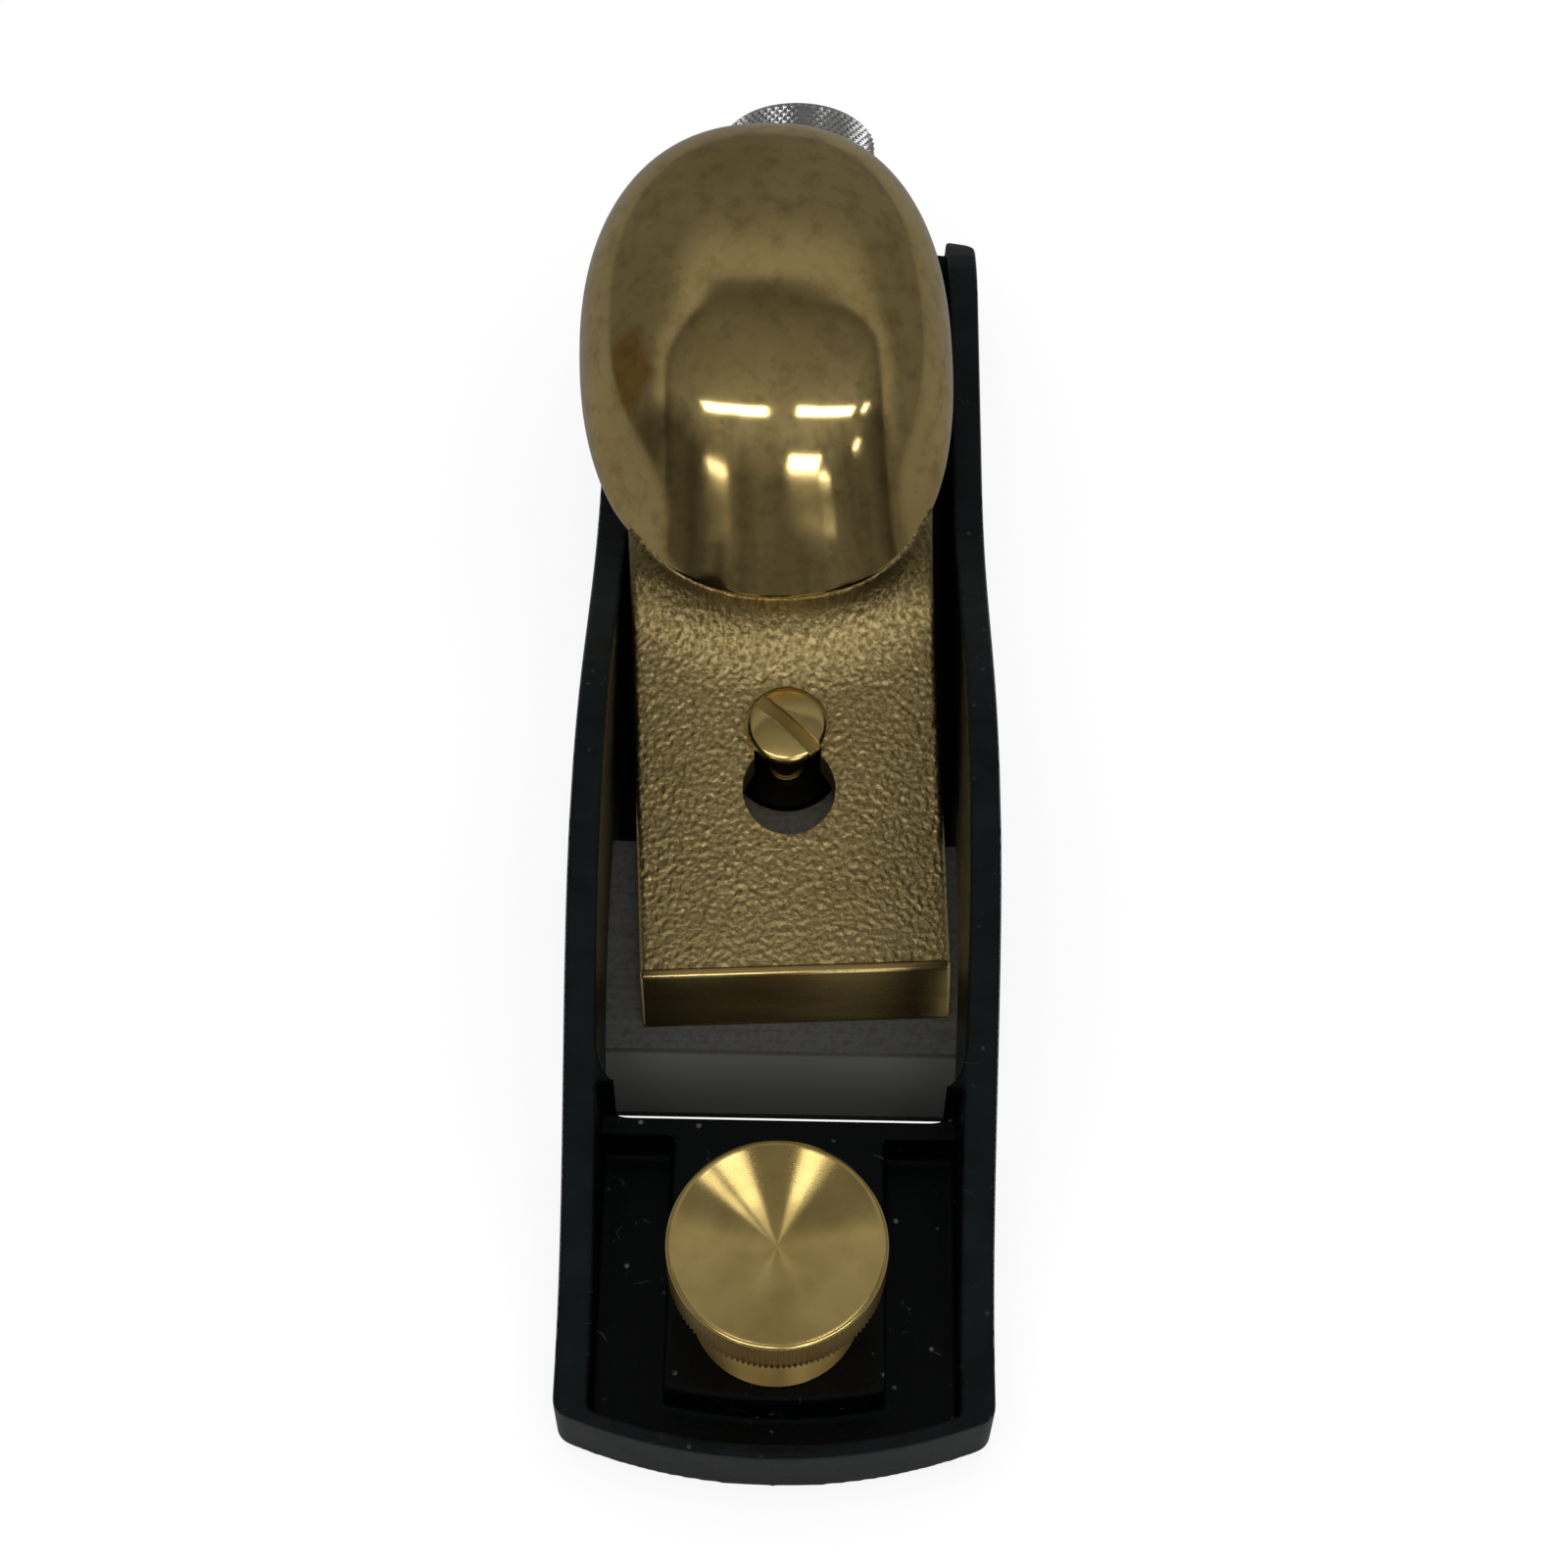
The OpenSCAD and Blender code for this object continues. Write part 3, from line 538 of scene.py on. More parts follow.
def makeBody():
    # remeshed and eased, so that cast edges and corners are as round as in a real casting
    b = bodyLook
    piece = copyNode("body", "planeBody")
    finishWith(piece, 'REMESH', mode='VOXEL', voxel_size=b["grain"], use_smooth_shade=True)
    finishWith(piece, 'SMOOTH', factor=0.5, iterations=b["soften"])
    takeUp(piece)
    bpy.ops.object.duplicate()
    fine = bpy.context.object
    whole = 2 * len(piece.data.polygons)
    finishWith(piece, 'DECIMATE', ratio=min(b["triangles"] / whole, 1))
    closeUp(piece)
    for finish in (japan, groundIron):
        piece.data.materials.append(finish)
    for face in piece.data.polygons:
        side = abs(face.center.x) > b["sideFrom"] and abs(face.normal.x) > b["square"]
        sole = face.center.z < b["soleUnder"] and face.normal.z < -b["square"]
        face.material_index = 1 if side or sole else 0
    takeUp(piece)
    bpy.ops.object.shade_smooth()
    # the thinned mesh is shaded by the normals of the whole one
    finishWith(piece, 'DATA_TRANSFER', object=fine, use_loop_data=True,
               data_types_loops={'CUSTOM_NORMAL'}, loop_mapping='POLYINTERP_NEAREST')
    bpy.data.objects.remove(fine)
    print("body thinned from", whole, "triangles to", len(piece.data.polygons), "faces")
    return piece


planeBody = makeBody()
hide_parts("body")
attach(planeBody, "plane")
print("body made")

# toe plate and blade

plateLook = {"edge": 0.2 * mm, "corner": 34, "smooth": 32}
bladeLook = {"edge": 0.14 * mm, "corner": 34, "smooth": 20}

toePlate = easedCopy("toe_plate", "toePlate", plateLook, groundIron)
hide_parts("toe_plate")
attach(toePlate, "toe")

iron = easedCopy("blade", "iron", bladeLook, bladeSteel)
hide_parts("blade")
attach(iron, "iron")
print("toe plate and iron made")

# toe knob

knobLook = {"base": 11.9, "height": 17.0, "knurl": 5.9, "rim": 10.75, "foot": 8.6, "footEdge": 0.25,
            "neck": (0.12, 0.15), "shoulder": 1.4, "chamfer": 0.5, "roll": (18, 36, 54, 72, 90),
            "lip": (0.22, 0.03), "dish": 1.0, "dishBend": (5.2, 0.48), "teeth": 118, "depth": 0.33,
            "faceUp": 0.8, "faceEdge": 0.1, "smooth": 28}


def makeKnob():
    k = knobLook
    top = k["height"]
    band = top - k["knurl"]
    under = band - k["shoulder"]
    inner = k["rim"] - k["chamfer"]
    rows = knurlRings(band + k["chamfer"], top - k["chamfer"], 2)
    flare, ease = k["neck"]
    profile = [(k["foot"] - k["footEdge"], 0), (k["foot"], k["footEdge"]), (k["foot"], under - ease),
               (k["foot"] + flare, under), (inner, band)]
    profile += [(k["rim"], row) for row in rows]
    for turn in k["roll"]:
        out, up = math.cos(math.radians(turn)), math.sin(math.radians(turn))
        profile.append((k["rim"] - k["chamfer"] * (1 - out), top - k["chamfer"] * (1 - up)))
    lip, drop = k["lip"]
    bendRadius, bendShare = k["dishBend"]
    profile += [(inner - lip, top - drop), (bendRadius, top - drop - (k["dish"] - drop) * bendShare),
                (0, top - k["dish"])]
    piece = turned("toeKnobTurned", profile, 2 * k["teeth"])
    knurl(piece, k["rim"], rows, k["depth"], 2 * k["teeth"])
    for finish in (rimBrass, knobBrass, footBrass, ringBrass):
        piece.data.materials.append(finish)
    for face in piece.data.polygons:
        if face.normal.z > k["faceUp"] and face.center.xy.length < (inner - k["faceEdge"]) * mm:
            face.material_index = 1
        elif face.center.z < under * mm:
            # the foot gets the brass darkened as painted shade
            face.material_index = 2
        elif face.center.z > (top - k["chamfer"]) * mm:
            face.material_index = 3
    seat(piece, Matrix.Translation((*knobPlace, k["base"] * mm)))
    smoothBy(piece, k["smooth"])
    return piece


toeKnob = makeKnob()
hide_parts("toe_knob")
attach(toeKnob, "knob")
print("knob made")

# lever cap: the plate and its bar, the sweep, the sand grain, the dome, then holes and hollows

capLook = {"half": 16.8, "front": 15.3, "back": 67.0, "columns": 215, "rows": 332, "edgeRound": 0.8,
           "bevelFoot": (9.9, 3.2), "bevelTop": (14.5, 7.8), "slope": 5.7,
           "barEdge": 0.42, "barLap": (0.05, 0.06),
           "sweep": (9.5, 6.4), "sweepEnd": 0.985, "sweepOn": 0.15,
           "grain": 0.6, "grainDepth": 0.13, "grainNoise": (0.8, 2.1, 2), "skirt": 50,
           "dome": (-0.68, 82.6, 17.5), "domeHalf": (20.9, 28.5, 17.0), "lean": (1.3, 0.5, 0.3),
           "square": 2.33, "section": 2.15, "frontPower": 1.85, "frontFrom": 0.05, "frontRun": 0.75,
           "rings": 72, "soften": 6, "shell": 4.0, "hollowRings": 36, "rim": 12.5,
           "spin": 83.0, "boss": (7.0, 12.9, 31.5), "bore": (3.05, 24.6),
           "keyhole": (34.7, 5.1), "neck": 3.7, "seat": (10.475, 4.8), "through": 30,
           "lowUnder": (10.7, 16.3, 60, 4.6), "highUnder": (50.5, 63.0, 70, 12.5),
           "underHalf": 25, "underLow": -1, "smooth": 38}


def domeBend(back):
    # the dome leans to one side, more in front than behind
    inFront, behind, middle = capLook["lean"]
    return (inFront if back < 0 else behind) * (back / capLook["domeHalf"][1]) ** 2 - middle


def domeNorm(aside, back, trim=0):
    # 1 on the dome's outline, seen square to the bed
    halfX, halfY = [value - trim for value in capLook["domeHalf"][:2]]
    square = capLook["square"]
    return ((abs(aside) / halfX) ** square + (abs(back) / halfY) ** square) ** (1 / square)


def sweepRun(x, u):
    # how far a point has come into the sweep, which follows the dome's outline
    back = u - capLook["dome"][1]
    aside = x - capLook["dome"][0] - domeBend(back)
    reach = math.hypot(aside, back)
    return max(capLook["sweep"][0] - reach * (1 - 1 / domeNorm(aside, back)), 0)


def capHeight(x, u):
    c = capLook
    top = c["bevelTop"][1] + (u - c["bevelTop"][0]) * math.tan(math.radians(c["slope"]))
    length, height = c["sweep"]
    run = sweepRun(x, u)
    near = min(run, c["sweepEnd"] * length)
    top += height * (1 - math.sqrt(1 - (near / length) ** 2)) + (run - near) * c["sweepOn"]
    over = abs(x) - (c["half"] - c["edgeRound"])
    if over > 0:
        top -= c["edgeRound"] - math.sqrt(max(c["edgeRound"] ** 2 - over * over, 0))
    return top


def makeCapPlate():
    c = capLook
    clearHands()
    bpy.ops.mesh.primitive_grid_add(x_subdivisions=c["columns"], y_subdivisions=c["rows"], size=1,
                                    location=(0, (c["front"] + c["back"]) / 2 * mm, 0))
    bpy.context.object.scale = (2 * c["half"] * mm, (c["back"] - c["front"]) * mm, 1)
    piece = named("capPlate")
    bpy.ops.object.mode_set(mode='EDIT')
    bpy.ops.mesh.select_all(action='SELECT')
    bpy.ops.mesh.region_to_loop()
    bpy.ops.mesh.extrude_region_move(TRANSFORM_OT_translate={"value": (0, 0, -c["skirt"] * mm)})
    bpy.ops.mesh.edge_face_add()
    bpy.ops.object.mode_set(mode='OBJECT')
    grain = piece.data.attributes.new("grainHeight", 'FLOAT', 'POINT')
    sweep = piece.data.attributes.new("sweep", 'FLOAT', 'POINT')
    for point in piece.data.vertices:
        x, u = point.co.x / mm, point.co.y / mm
        if point.co.z < 0:
            point.co.z = c["bevelFoot"][1] * mm
        else:
            sand = sandNoise.fractal(Vector((x, u, 0)) / c["grain"], *c["grainNoise"])
            point.co.z = (capHeight(x, u) + c["grainDepth"] * sand) * mm
            grain.data[point.index].value = sand
            sweep.data[point.index].value = min(sweepRun(x, u) / c["sweep"][0], 1)
    takeUp(piece)
    bpy.ops.object.mode_set(mode='EDIT')
    bpy.ops.mesh.select_all(action='SELECT')
    bpy.ops.mesh.normals_make_consistent(inside=False)
    bpy.ops.object.mode_set(mode='OBJECT')
    piece.data.materials.append(castBronze)
    return piece


def domeBlank(name, trim, rings):
    # a ball drawn out to the dome: full at the back, sloping in front where it meets the plate
    c = capLook
    clearHands()
    bpy.ops.mesh.primitive_uv_sphere_add(segments=2 * rings, ring_count=rings, radius=1)
    piece = named(name)
    middle = c["dome"]
    rise = c["domeHalf"][2] - trim
    power = 2 / c["section"]
    for point in piece.data.vertices:
        flat = max(point.co.xy.length, fineGap)
        turn = math.atan2(point.co.y, point.co.x)
        across, along = math.cos(turn), math.sin(turn)
        reach = 1 / domeNorm(across, along, trim)
        ring = flat ** power
        level = math.copysign(abs(point.co.z) ** power, point.co.z)
        back = along * reach * ring
        front = min(max((-back / c["domeHalf"][1] - c["frontFrom"]) / c["frontRun"], 0), 1)
        front = front * front * (3 - 2 * front)
        if level > 0:
            level += front * (1 - ring ** c["frontPower"] - level)
        aside = across * reach * ring + domeBend(back)
        point.co = ((aside + middle[0]) * mm, (back + middle[1]) * mm, (level * rise + middle[2]) * mm)
    closeUp(piece)
    finishWith(piece, 'SMOOTH', factor=0.5, iterations=c["soften"])
    piece.data.materials.append(polishedBronze)
    return piece


def makeCapBar():
    c = capLook
    foot, top = c["bevelFoot"], c["bevelTop"]
    lapBack, lapUp = c["barLap"]
    piece = bar("capBar", (-c["half"], foot[0], foot[1]), (c["half"], c["front"] + lapBack, top[1] + lapUp))
    pickPoints(piece, lambda co: co.y < (foot[0] + 0.1) * mm and co.z > (foot[1] + 1) * mm)
    bpy.ops.transform.translate(value=(0, (top[0] - foot[0]) * mm, 0))
    bpy.ops.object.mode_set(mode='OBJECT')
    finishWith(piece, 'BEVEL', width=c["barEdge"] * mm, segments=4, limit_method='ANGLE',
               angle_limit=math.radians(30))
    closeUp(piece)
    piece.data.materials.append(polishedBar)
    return piece


def underCut(name, footStart, topStart, end, top):
    # a block with a sloping front, to hollow the underside
    half, low = capLook["underHalf"], capLook["underLow"]
    piece = bar(name, (-half, footStart, low), (half, end, top))
    pickPoints(piece, lambda co: co.y < (footStart + 0.1) * mm and co.z > 0)
    bpy.ops.transform.translate(value=(0, (topStart - footStart) * mm, 0))
    bpy.ops.object.mode_set(mode='OBJECT')
    return piece


def makeCapCutter():
    # keyhole, screw seat and the hollows of the underside in one
    c = capLook
    place, radius = c["keyhole"]
    back, through = screwPlace / mm, c["through"]
    seatLevel, seatRadius = c["seat"]
    cutter = peg("keyholeCut", radius, 0, through, (0, place))
    cutter.data.materials.append(castBronze)
    carve(cutter, bar("neckCut", (-c["neck"], place, 0), (c["neck"], back, through)), 'UNION')
    carve(cutter, peg("neckEnd", c["neck"], 0, through, (0, back)), 'UNION')
    carve(cutter, peg("screwSeat", seatRadius, seatLevel, through, (0, back)), 'UNION')
    carve(cutter, underCut("lowUnder", *c["lowUnder"]), 'UNION')
    carve(cutter, underCut("highUnder", *c["highUnder"]), 'UNION')
    return cutter


def makeLeverCap():
    c = capLook
    dome = domeBlank("leverCap", 0, c["rings"])
    takeUp(dome)
    bpy.ops.object.mode_set(mode='EDIT')
    bpy.ops.mesh.select_all(action='SELECT')
    bpy.ops.mesh.bisect(plane_co=(0, 0, c["rim"] * mm), plane_no=(0, 0, -1), use_fill=True,
                        clear_outer=True)
    bpy.ops.object.mode_set(mode='OBJECT')
    carve(dome, domeBlank("hollow", c["shell"], c["hollowRings"]))
    boss = peg("boss", *c["boss"], (0, c["spin"]))
    boss.data.materials.append(polishedBronze)
    carve(dome, boss, 'UNION')
    boreRadius, boreTop = c["bore"]
    carve(dome, peg("clampBore", boreRadius, 0, boreTop, (0, c["spin"])))
    carve(dome, makeCapBar(), 'UNION')
    carve(dome, makeCapPlate(), 'UNION')
    carve(dome, makeCapCutter())
    seat(dome, capFrame)
    smoothBy(dome, c["smooth"])
    return dome


leverCap = makeLeverCap()
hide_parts("lever_cap")
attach(leverCap, "cap")
print("lever cap made,", len(leverCap.data.polygons), "faces")

# lever cap screw

screwLook = {"head": 4.3, "seat": 10.525, "rim": 1.7, "rise": 1.0, "shank": 1.7, "thread": 2.1,
             "depth": 5.92, "threadTop": -0.5, "pointEdge": 0.3, "headEdge": 0.2, "rimEdge": 0.12,
             "crown": (0.97, 0.88, 0.74, 0.56, 0.36, 0.16, 0), "slot": 1.5, "slotDepth": 1.2,
             "slotHalf": 6, "slotClear": 2, "turn": -42, "corner": 0.07, "sides": 96, "smooth": 34}


def makeCapScrew():
    s = screwLook
    low, rim = s["seat"], s["seat"] + s["rim"]
    top = rim + s["rise"]
    crownRadius = (s["head"] ** 2 + s["rise"] ** 2) / (2 * s["rise"])
    profile = [(s["thread"] - s["pointEdge"], -s["depth"]), (s["thread"], -s["depth"] + s["pointEdge"]),
               (s["thread"], s["threadTop"]), (s["shank"], s["threadTop"]), (s["shank"], low),
               (s["head"] - s["headEdge"], low), (s["head"], low + s["headEdge"]),
               (s["head"], rim - s["rimEdge"])]
    for part in s["crown"]:
        out = s["head"] * part
        profile.append((out, top - crownRadius + math.sqrt(crownRadius ** 2 - out ** 2)))
    piece = turned("capScrew", profile, s["sides"])
    piece.data.materials.append(brightBrass)
    slot = bar("driverSlot", (-s["slotHalf"], -s["slot"] / 2, top - s["slotDepth"]),
               (s["slotHalf"], s["slot"] / 2, top + s["slotClear"]))
    slot.data.transform(Matrix.Rotation(math.radians(s["turn"]), 4, 'Z'))
    # the slot's faces get the brass darkened as painted shade
    carve(piece, slot, finish=slotBrass)
    finishWith(piece, 'BEVEL', width=s["corner"] * mm, segments=2, limit_method='ANGLE',
               angle_limit=math.radians(40), use_clamp_overlap=False)
    seat(piece, bedFrame @ Matrix.Translation((0, screwPlace, 0)))
    smoothBy(piece, s["smooth"])
    return piece


capScrew = makeCapScrew()
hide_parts("lever_cap_screw")
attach(capScrew, "cap_pivot")

# spin wheel and its screw

spinLook = {"place": 83.0, "low": 5.5, "radius": 9.5, "thick": 5.0, "chamfer": 0.6, "teeth": 120,
            "depth": 0.16, "recess": (6.0, 5.6, 0.25), "bore": 3.05, "smooth": 28,
            "screw": 3.0, "foot": 3.2, "length": 19.0, "pitch": 0.8, "threadDepth": 0.32, "threadSmooth": 30}


def makeSpinWheel():
    s = spinLook
    rows = knurlRings(s["chamfer"], s["thick"] - s["chamfer"], 2)
    outer, inner, sink = s["recess"]
    profile = [(s["radius"] - s["chamfer"], 0)] + [(s["radius"], row) for row in rows]
    profile += [(s["radius"] - s["chamfer"], s["thick"]), (outer, s["thick"]), (inner, s["thick"] - sink),
                (0, s["thick"] - sink)]
    piece = turned("spinWheel", profile, 2 * s["teeth"])
    knurl(piece, s["radius"], rows, s["depth"], 2 * s["teeth"])
    piece.data.materials.append(brightBrass)
    carve(piece, peg("wheelBore", s["bore"], -1, s["thick"] + 4))
    seat(piece, capFrame @ Matrix.Translation((0, s["place"] * mm, s["low"] * mm)))
    smoothBy(piece, s["smooth"])
    return piece


def makeSpinScrew():
    s = spinLook
    top = s["foot"] + s["length"]
    piece = threadBar("spinScrew", s["screw"], s["pitch"], s["foot"], top, s["threadDepth"])
    piece.data.materials.append(knurledSteel)
    seat(piece, capFrame @ Matrix.Translation((0, s["place"] * mm, 0)))
    smoothBy(piece, s["threadSmooth"])
    return piece


spinWheel = makeSpinWheel()
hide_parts("spin_wheel")
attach(spinWheel, "clamp_wheel")
spinScrew = makeSpinScrew()
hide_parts("spin_screw")
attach(spinScrew, "clamp_screw")
print("screws and spin wheel made")

# depth adjuster

adjusterLook = {"drop": 6.0, "collar": 107.209, "collarRadius": 8.0, "collarThick": 3.0, "collarEdge": 0.25,
                "neck": 4.0, "neckLength": 4.3, "radius": 9.5, "length": 10.5, "chamfer": 0.8,
                "diamonds": 60, "rows": 18, "depth": 0.36, "face": (6.8, 6.5, 4.4, 0.3), "bore": 3.05,
                "smooth": 24, "spindle": 3.0, "spindleLength": 21.0, "spindleEdge": 0.2, "pitch": 0.8,
                "threadDepth": 0.32, "threadLap": 0.2, "threadSmooth": 30, "sides": 96}


def alongBed(start):
    # lays an upright piece along the adjuster's axis, its foot at that distance behind the edge
    axis = bedFrame @ Matrix.Translation((0, start * mm, -adjusterLook["drop"] * mm))
    return axis @ Matrix.Rotation(-math.pi / 2, 4, 'X')


def makeAdjusterWheel():
    a = adjusterLook
    top = a["length"]
    rows = knurlRings(a["chamfer"], top - a["chamfer"], a["rows"])
    outer, inner, middle, sink = a["face"]
    profile = [(a["radius"] - a["chamfer"], 0)] + [(a["radius"], row) for row in rows]
    profile += [(a["radius"] - a["chamfer"], top), (outer, top), (inner, top - sink), (middle, top - sink),
                (0, top - sink)]
    piece = turned("adjusterWheel", profile, 2 * a["diamonds"])
    knurl(piece, a["radius"], rows, a["depth"], 2 * a["diamonds"], True)
    # folded from low point to low point, so that each high one is the tip of a diamond
    finishWith(piece, 'TRIANGULATE', quad_method='SHORTEST_DIAGONAL')
    piece.data.materials.append(knurledSteel)
    carve(piece, peg("spindleBore", a["bore"], -1, top + 1))
    seat(piece, alongBed(a["collar"] + a["collarThick"] + a["neckLength"]))
    smoothBy(piece, a["smooth"])
    return piece


def makeSpindle():
    a = adjusterLook
    thick, edge, radius = a["collarThick"], a["collarEdge"], a["collarRadius"]
    neckEnd = thick + a["neckLength"]
    end = neckEnd + a["length"]
    thread = threadBar("adjusterSpindle", a["spindle"], a["pitch"], -a["spindleLength"], a["threadLap"],
                       a["threadDepth"])
    profile = [(radius - edge, 0), (radius, edge), (radius, thick - edge), (radius - edge, thick),
               (a["neck"], thick), (a["neck"], neckEnd), (a["spindle"], neckEnd),
               (a["spindle"], end - a["spindleEdge"]), (a["spindle"] - a["spindleEdge"], end)]
    piece = joinTo(thread, [turned("collar", profile, a["sides"])])
    piece.data.materials.clear()
    piece.data.materials.append(knurledSteel)
    seat(piece, alongBed(a["collar"]))
    smoothBy(piece, a["threadSmooth"])
    return piece


adjusterWheel = makeAdjusterWheel()
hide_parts("adjuster_wheel")
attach(adjusterWheel, "adjuster")
adjusterSpindle = makeSpindle()
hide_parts("adjuster_spindle")
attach(adjusterSpindle, "adjuster")

# the stud stays as it was turned
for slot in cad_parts["toe_stud"].material_slots:
    slot.material = brightBrass
print("adjuster made")

# floor

stageLook = {"floor": 0.36, "camera": 0.82, "mirror": 0.05, "size": 6.0, "below": 0.0001}


def makeFloor():
    clearHands()
    bpy.ops.mesh.primitive_plane_add(size=stageLook["size"], location=(0, 0, -stageLook["below"]))
    floor = named("floor")
    finish = bpy.data.materials.new("paleFloor")
    finish.use_nodes = True
    tree = finish.node_tree
    tree.nodes.clear()
    out = add(tree, "OutputMaterial")
    paper = add(tree, "BsdfDiffuse", {"Color": (stageLook["floor"],) * 3 + (1,)})
    glow = add(tree, "Emission", {"Color": (1, 1, 1, 1)})
    both = add(tree, "AddShader")
    path = add(tree, "LightPath")
    seen = calc(tree, 'MULTIPLY', path.outputs["Is Camera Ray"], stageLook["camera"])
    mirrored = calc(tree, 'MAXIMUM', path.outputs["Is Glossy Ray"], path.outputs["Is Transmission Ray"])
    strength = calc(tree, 'MULTIPLY_ADD', mirrored, stageLook["mirror"], seen)
    tree.links.new(strength, glow.inputs["Strength"])
    tree.links.new(paper.outputs[0], both.inputs[0])
    tree.links.new(glow.outputs[0], both.inputs[1])
    tree.links.new(both.outputs[0], out.inputs["Surface"])
    floor.data.materials.append(finish)


# room: brightness from toe to heel is a bright ceiling, dark towards its edge, then a pale wall
roomLook = {"tones": [(-1, 0.24), (-0.6, 0.265), (0.14, 0.165), (0.29, 0.085), (0.33, 0.32), (0.45, 0.28),
                      (0.55, 0.2), (0.65, 0.155), (1, 0.15)],
            "shift": 0.1, "aside": 0.35, "asideTurn": 1.6, "low": 0.6, "lowTurn": 0.75,
            "toeSide": (-0.45, -0.1), "dimUp": (0.26, 0.5), "lowDim": -0.7,
            "streakScale": (7, 7, 0.7), "streak": (-0.3, 0.8), "streakUp": (0.3, 0.75),
            "corner": (-1.85, -1.3), "cornerSoft": 0.05, "cornerUp": (0.4, 0.5), "cornerShare": 0.75,
            "brown": (0.10, 0.064, 0.028)}


def makeRoom():
    r = roomLook
    world = bpy.data.worlds.new("room")
    bpy.context.scene.world = world
    world.use_nodes = True
    tree = world.node_tree
    where = add(tree, "TexCoord").outputs["Generated"]
    across, along, up = axes(tree, where)
    # the ceiling's edge bends down to both sides and near the floor
    low = calc(tree, 'MAXIMUM', calc(tree, 'SUBTRACT', r["low"], up), 0.0)
    away = calc(tree, 'ABSOLUTE', calc(tree, 'SUBTRACT', across, r["shift"]))
    aside = calc(tree, 'MAXIMUM', calc(tree, 'SUBTRACT', away, r["aside"]), 0.0)
    turn = calc(tree, 'MULTIPLY_ADD', low, r["lowTurn"], along)
    turn = calc(tree, 'MULTIPLY_ADD', calc(tree, 'MULTIPLY', aside, aside), r["asideTurn"], turn)
    ramp = add(tree, "ValToRGB")
    stops = ramp.color_ramp.elements
    while len(stops) < len(r["tones"]):
        stops.new(1.0)
    for stop, (place, value) in zip(stops, r["tones"]):
        stop.position = (place + 1) / 2
        stop.color = (value, value, value, 1)
    tree.links.new(remap(tree, turn, -1, 1, 0, 1), ramp.inputs["Fac"])
    # on the toe side it is dim near the floor, with upright streaks, as furniture and frames give
    toeSide = remap(tree, along, *r["toeSide"], 1, 0)
    upright = add(tree, "Mapping", {"Scale": r["streakScale"]})
    tree.links.new(where, upright.inputs["Vector"])
    streak = remap(tree, noise(tree, upright.outputs["Vector"], 1, 3), 0.32, 0.68, *r["streak"])
    near = calc(tree, 'MULTIPLY', remap(tree, up, *r["streakUp"], 1, 0), toeSide)
    streaky = calc(tree, 'MULTIPLY_ADD', streak, near, 1.0)
    dim = calc(tree, 'MULTIPLY_ADD', remap(tree, up, *r["dimUp"], r["lowDim"], 0), toeSide, 1.0)
    tone = calc(tree, 'MULTIPLY', ramp.outputs["Color"], calc(tree, 'MULTIPLY', streaky, dim))
    # a brown panel to the left
    first, last = r["corner"]
    soft = r["cornerSoft"]
    bearing = calc(tree, 'ARCTAN2', across, calc(tree, 'MULTIPLY', along, -1.0))
    starts = remap(tree, bearing, first - soft, first + soft, 0, 1)
    ends = remap(tree, bearing, last - soft, last + soft, 1, 0)
    corner = calc(tree, 'MULTIPLY', calc(tree, 'MULTIPLY', starts, ends),
                  remap(tree, up, *r["cornerUp"], r["cornerShare"], 0))
    shown = blendColors(tree, corner, tone, r["brown"])
    # the camera itself sees plain white behind the floor
    seen = add(tree, "LightPath").outputs["Is Camera Ray"]
    background = tree.nodes["Background"]
    tree.links.new(blendColors(tree, seen, shown, (1, 1, 1)), background.inputs["Color"])


# lights: those of the ceiling shine back from polished metal, and the wedges from the knob's face

ceilingBrightness = 6.0
ceilingLights = [  # place in the room, width, depth
    ("frontLeft", (-0.49, -1.03, 1.0), 1.02, 0.20),
    ("frontRight", (0.97, -1.01, 1.0), 1.26, 0.20),
    ("middleLeft", (-0.66, -1.28, 0.42), 0.32, 0.18),
    ("middleRight", (0.31, -0.97, 0.42), 0.32, 0.22),
    ("sideRight", (2.05, -0.97, 1.0), 0.18, 0.20),
    ("lowRight", (1.60, -1.25, 0.62), 0.14, 0.20),
    ("backRight", (0.55, -1.08, 0.40), 0.10, 0.06),
    ("backFar", (0.60, -1.05, 0.38), 0.06, 0.04),
]
wedgeLook = {"tilt": 8, "seenFrom": (0, -0.1047, 0.2641), "height": 1.0, "depth": 0.14,
             # from one angle on the knob's face to another, and brightness
             "wedges": [(20, 35, 4.6), (40, 47, 3.4), (-13.5, -25, 4.6), (-25, -31, 1.2)]}
fillLook = {"place": (0, -0.2, 1.5), "size": 1.8, "energy": 11.1033}


def makeLamp(name, place, width, depth, brightness, turn=0):
    lamp = bpy.data.lights.new(name, 'AREA')
    lamp.shape = 'RECTANGLE'
    lamp.size = width
    lamp.size_y = depth
    lamp.energy = brightness * math.pi * width * depth
    holder = bpy.data.objects.new(name, lamp)
    bpy.context.collection.objects.link(holder)
    holder.location = place
    holder.rotation_euler = (0, 0, turn)
    return holder


def lightOnly(name, lamps, pieces):
    lit = bpy.data.collections.new(name)
    for piece in pieces:
        lit.objects.link(piece)
    for lamp in lamps:
        lamp.light_linking.receiver_collection = lit


def makeCeilingLights():
    lamps = [makeLamp(*light, ceilingBrightness) for light in ceilingLights]
    lightOnly("underCeiling", lamps, [leverCap, capScrew, adjusterWheel, spinWheel, toeKnob])


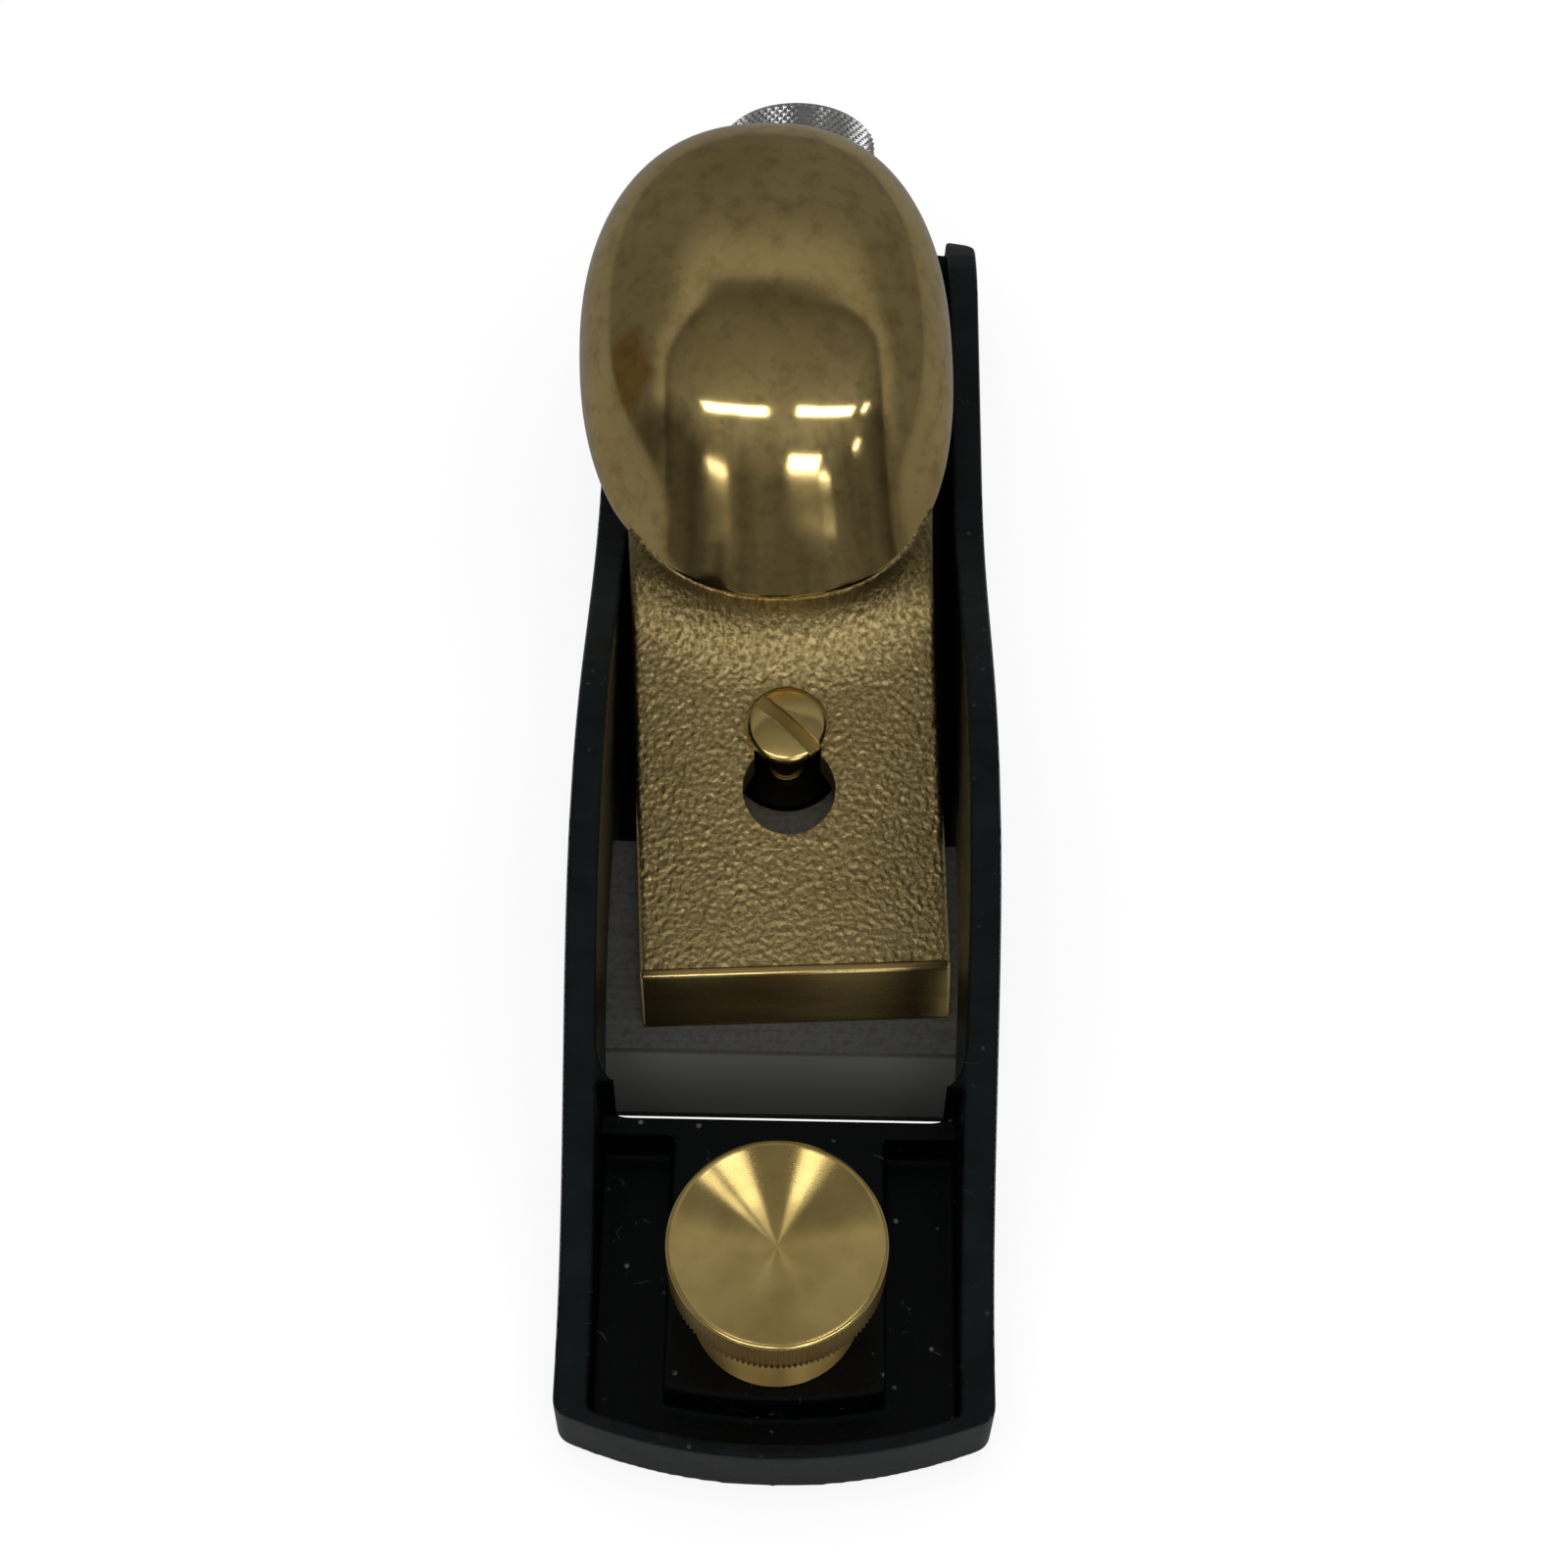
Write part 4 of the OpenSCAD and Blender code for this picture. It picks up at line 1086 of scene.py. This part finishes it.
def wedgeSpot(turn):
    # where a lamp stands, one up from the knob, to shine back from the face's lathe marks at that angle
    w = wedgeLook
    tilt, turn = math.radians(w["tilt"]), math.radians(turn)
    half = Vector((math.sin(tilt) * math.sin(turn), -math.sin(tilt) * math.cos(turn), math.cos(tilt)))
    lookBack = Vector(w["seenFrom"]).normalized()
    way = 2 * half.dot(lookBack) * half - lookBack
    return way / way.z


def makeWedgeLights():
    w = wedgeLook
    lamps = []
    for number, (start, end, brightness) in enumerate(w["wedges"]):
        first, last = wedgeSpot(start), wedgeSpot(end)
        run = last - first
        place = (first + last) / 2 * w["height"] + Vector((*knobPlace, 0))
        lamps.append(makeLamp("wedge%d" % number, place, run.length * w["height"], w["depth"] * w["height"],
                              brightness, math.atan2(run.y, run.x)))
    lightOnly("knobAlone", lamps, [toeKnob])


def makeFill():
    # broad soft light for the plain level, kept out of the metal's reflections
    size = fillLook["size"]
    holder = makeLamp("fill", fillLook["place"], size, size, fillLook["energy"] / (math.pi * size * size))
    holder.visible_glossy = False


# camera: focal length and picture width are in the photograph's pixels, the sensor in millimetres

cameraLook = {"height": 292.67, "back": -168.41, "tilt": 30.556, "roll": -1.1,
              "focal": 2983.3, "picture": 1600, "sensor": 36, "shift": -0.00125, "nearest": 0.01}


def makeCamera():
    c = cameraLook
    lens = bpy.data.cameras.new("camera")
    lens.sensor_width = c["sensor"]
    lens.lens = c["sensor"] * c["focal"] / c["picture"]
    lens.shift_x = c["shift"]
    lens.clip_start = c["nearest"]
    camera = bpy.data.objects.new("camera", lens)
    bpy.context.collection.objects.link(camera)
    place = Matrix.Translation((0, c["back"] * mm, c["height"] * mm))
    tilt = Matrix.Rotation(math.radians(c["tilt"]), 4, 'X')
    roll = Matrix.Rotation(-math.radians(c["roll"]), 4, 'Z')
    camera.matrix_world = place @ tilt @ roll
    bpy.context.scene.camera = camera


makeFloor()
makeRoom()
makeCeilingLights()
makeWedgeLights()
makeFill()
makeCamera()
bpy.context.scene.view_settings.view_transform = 'Standard'
print("floor, light and camera made")
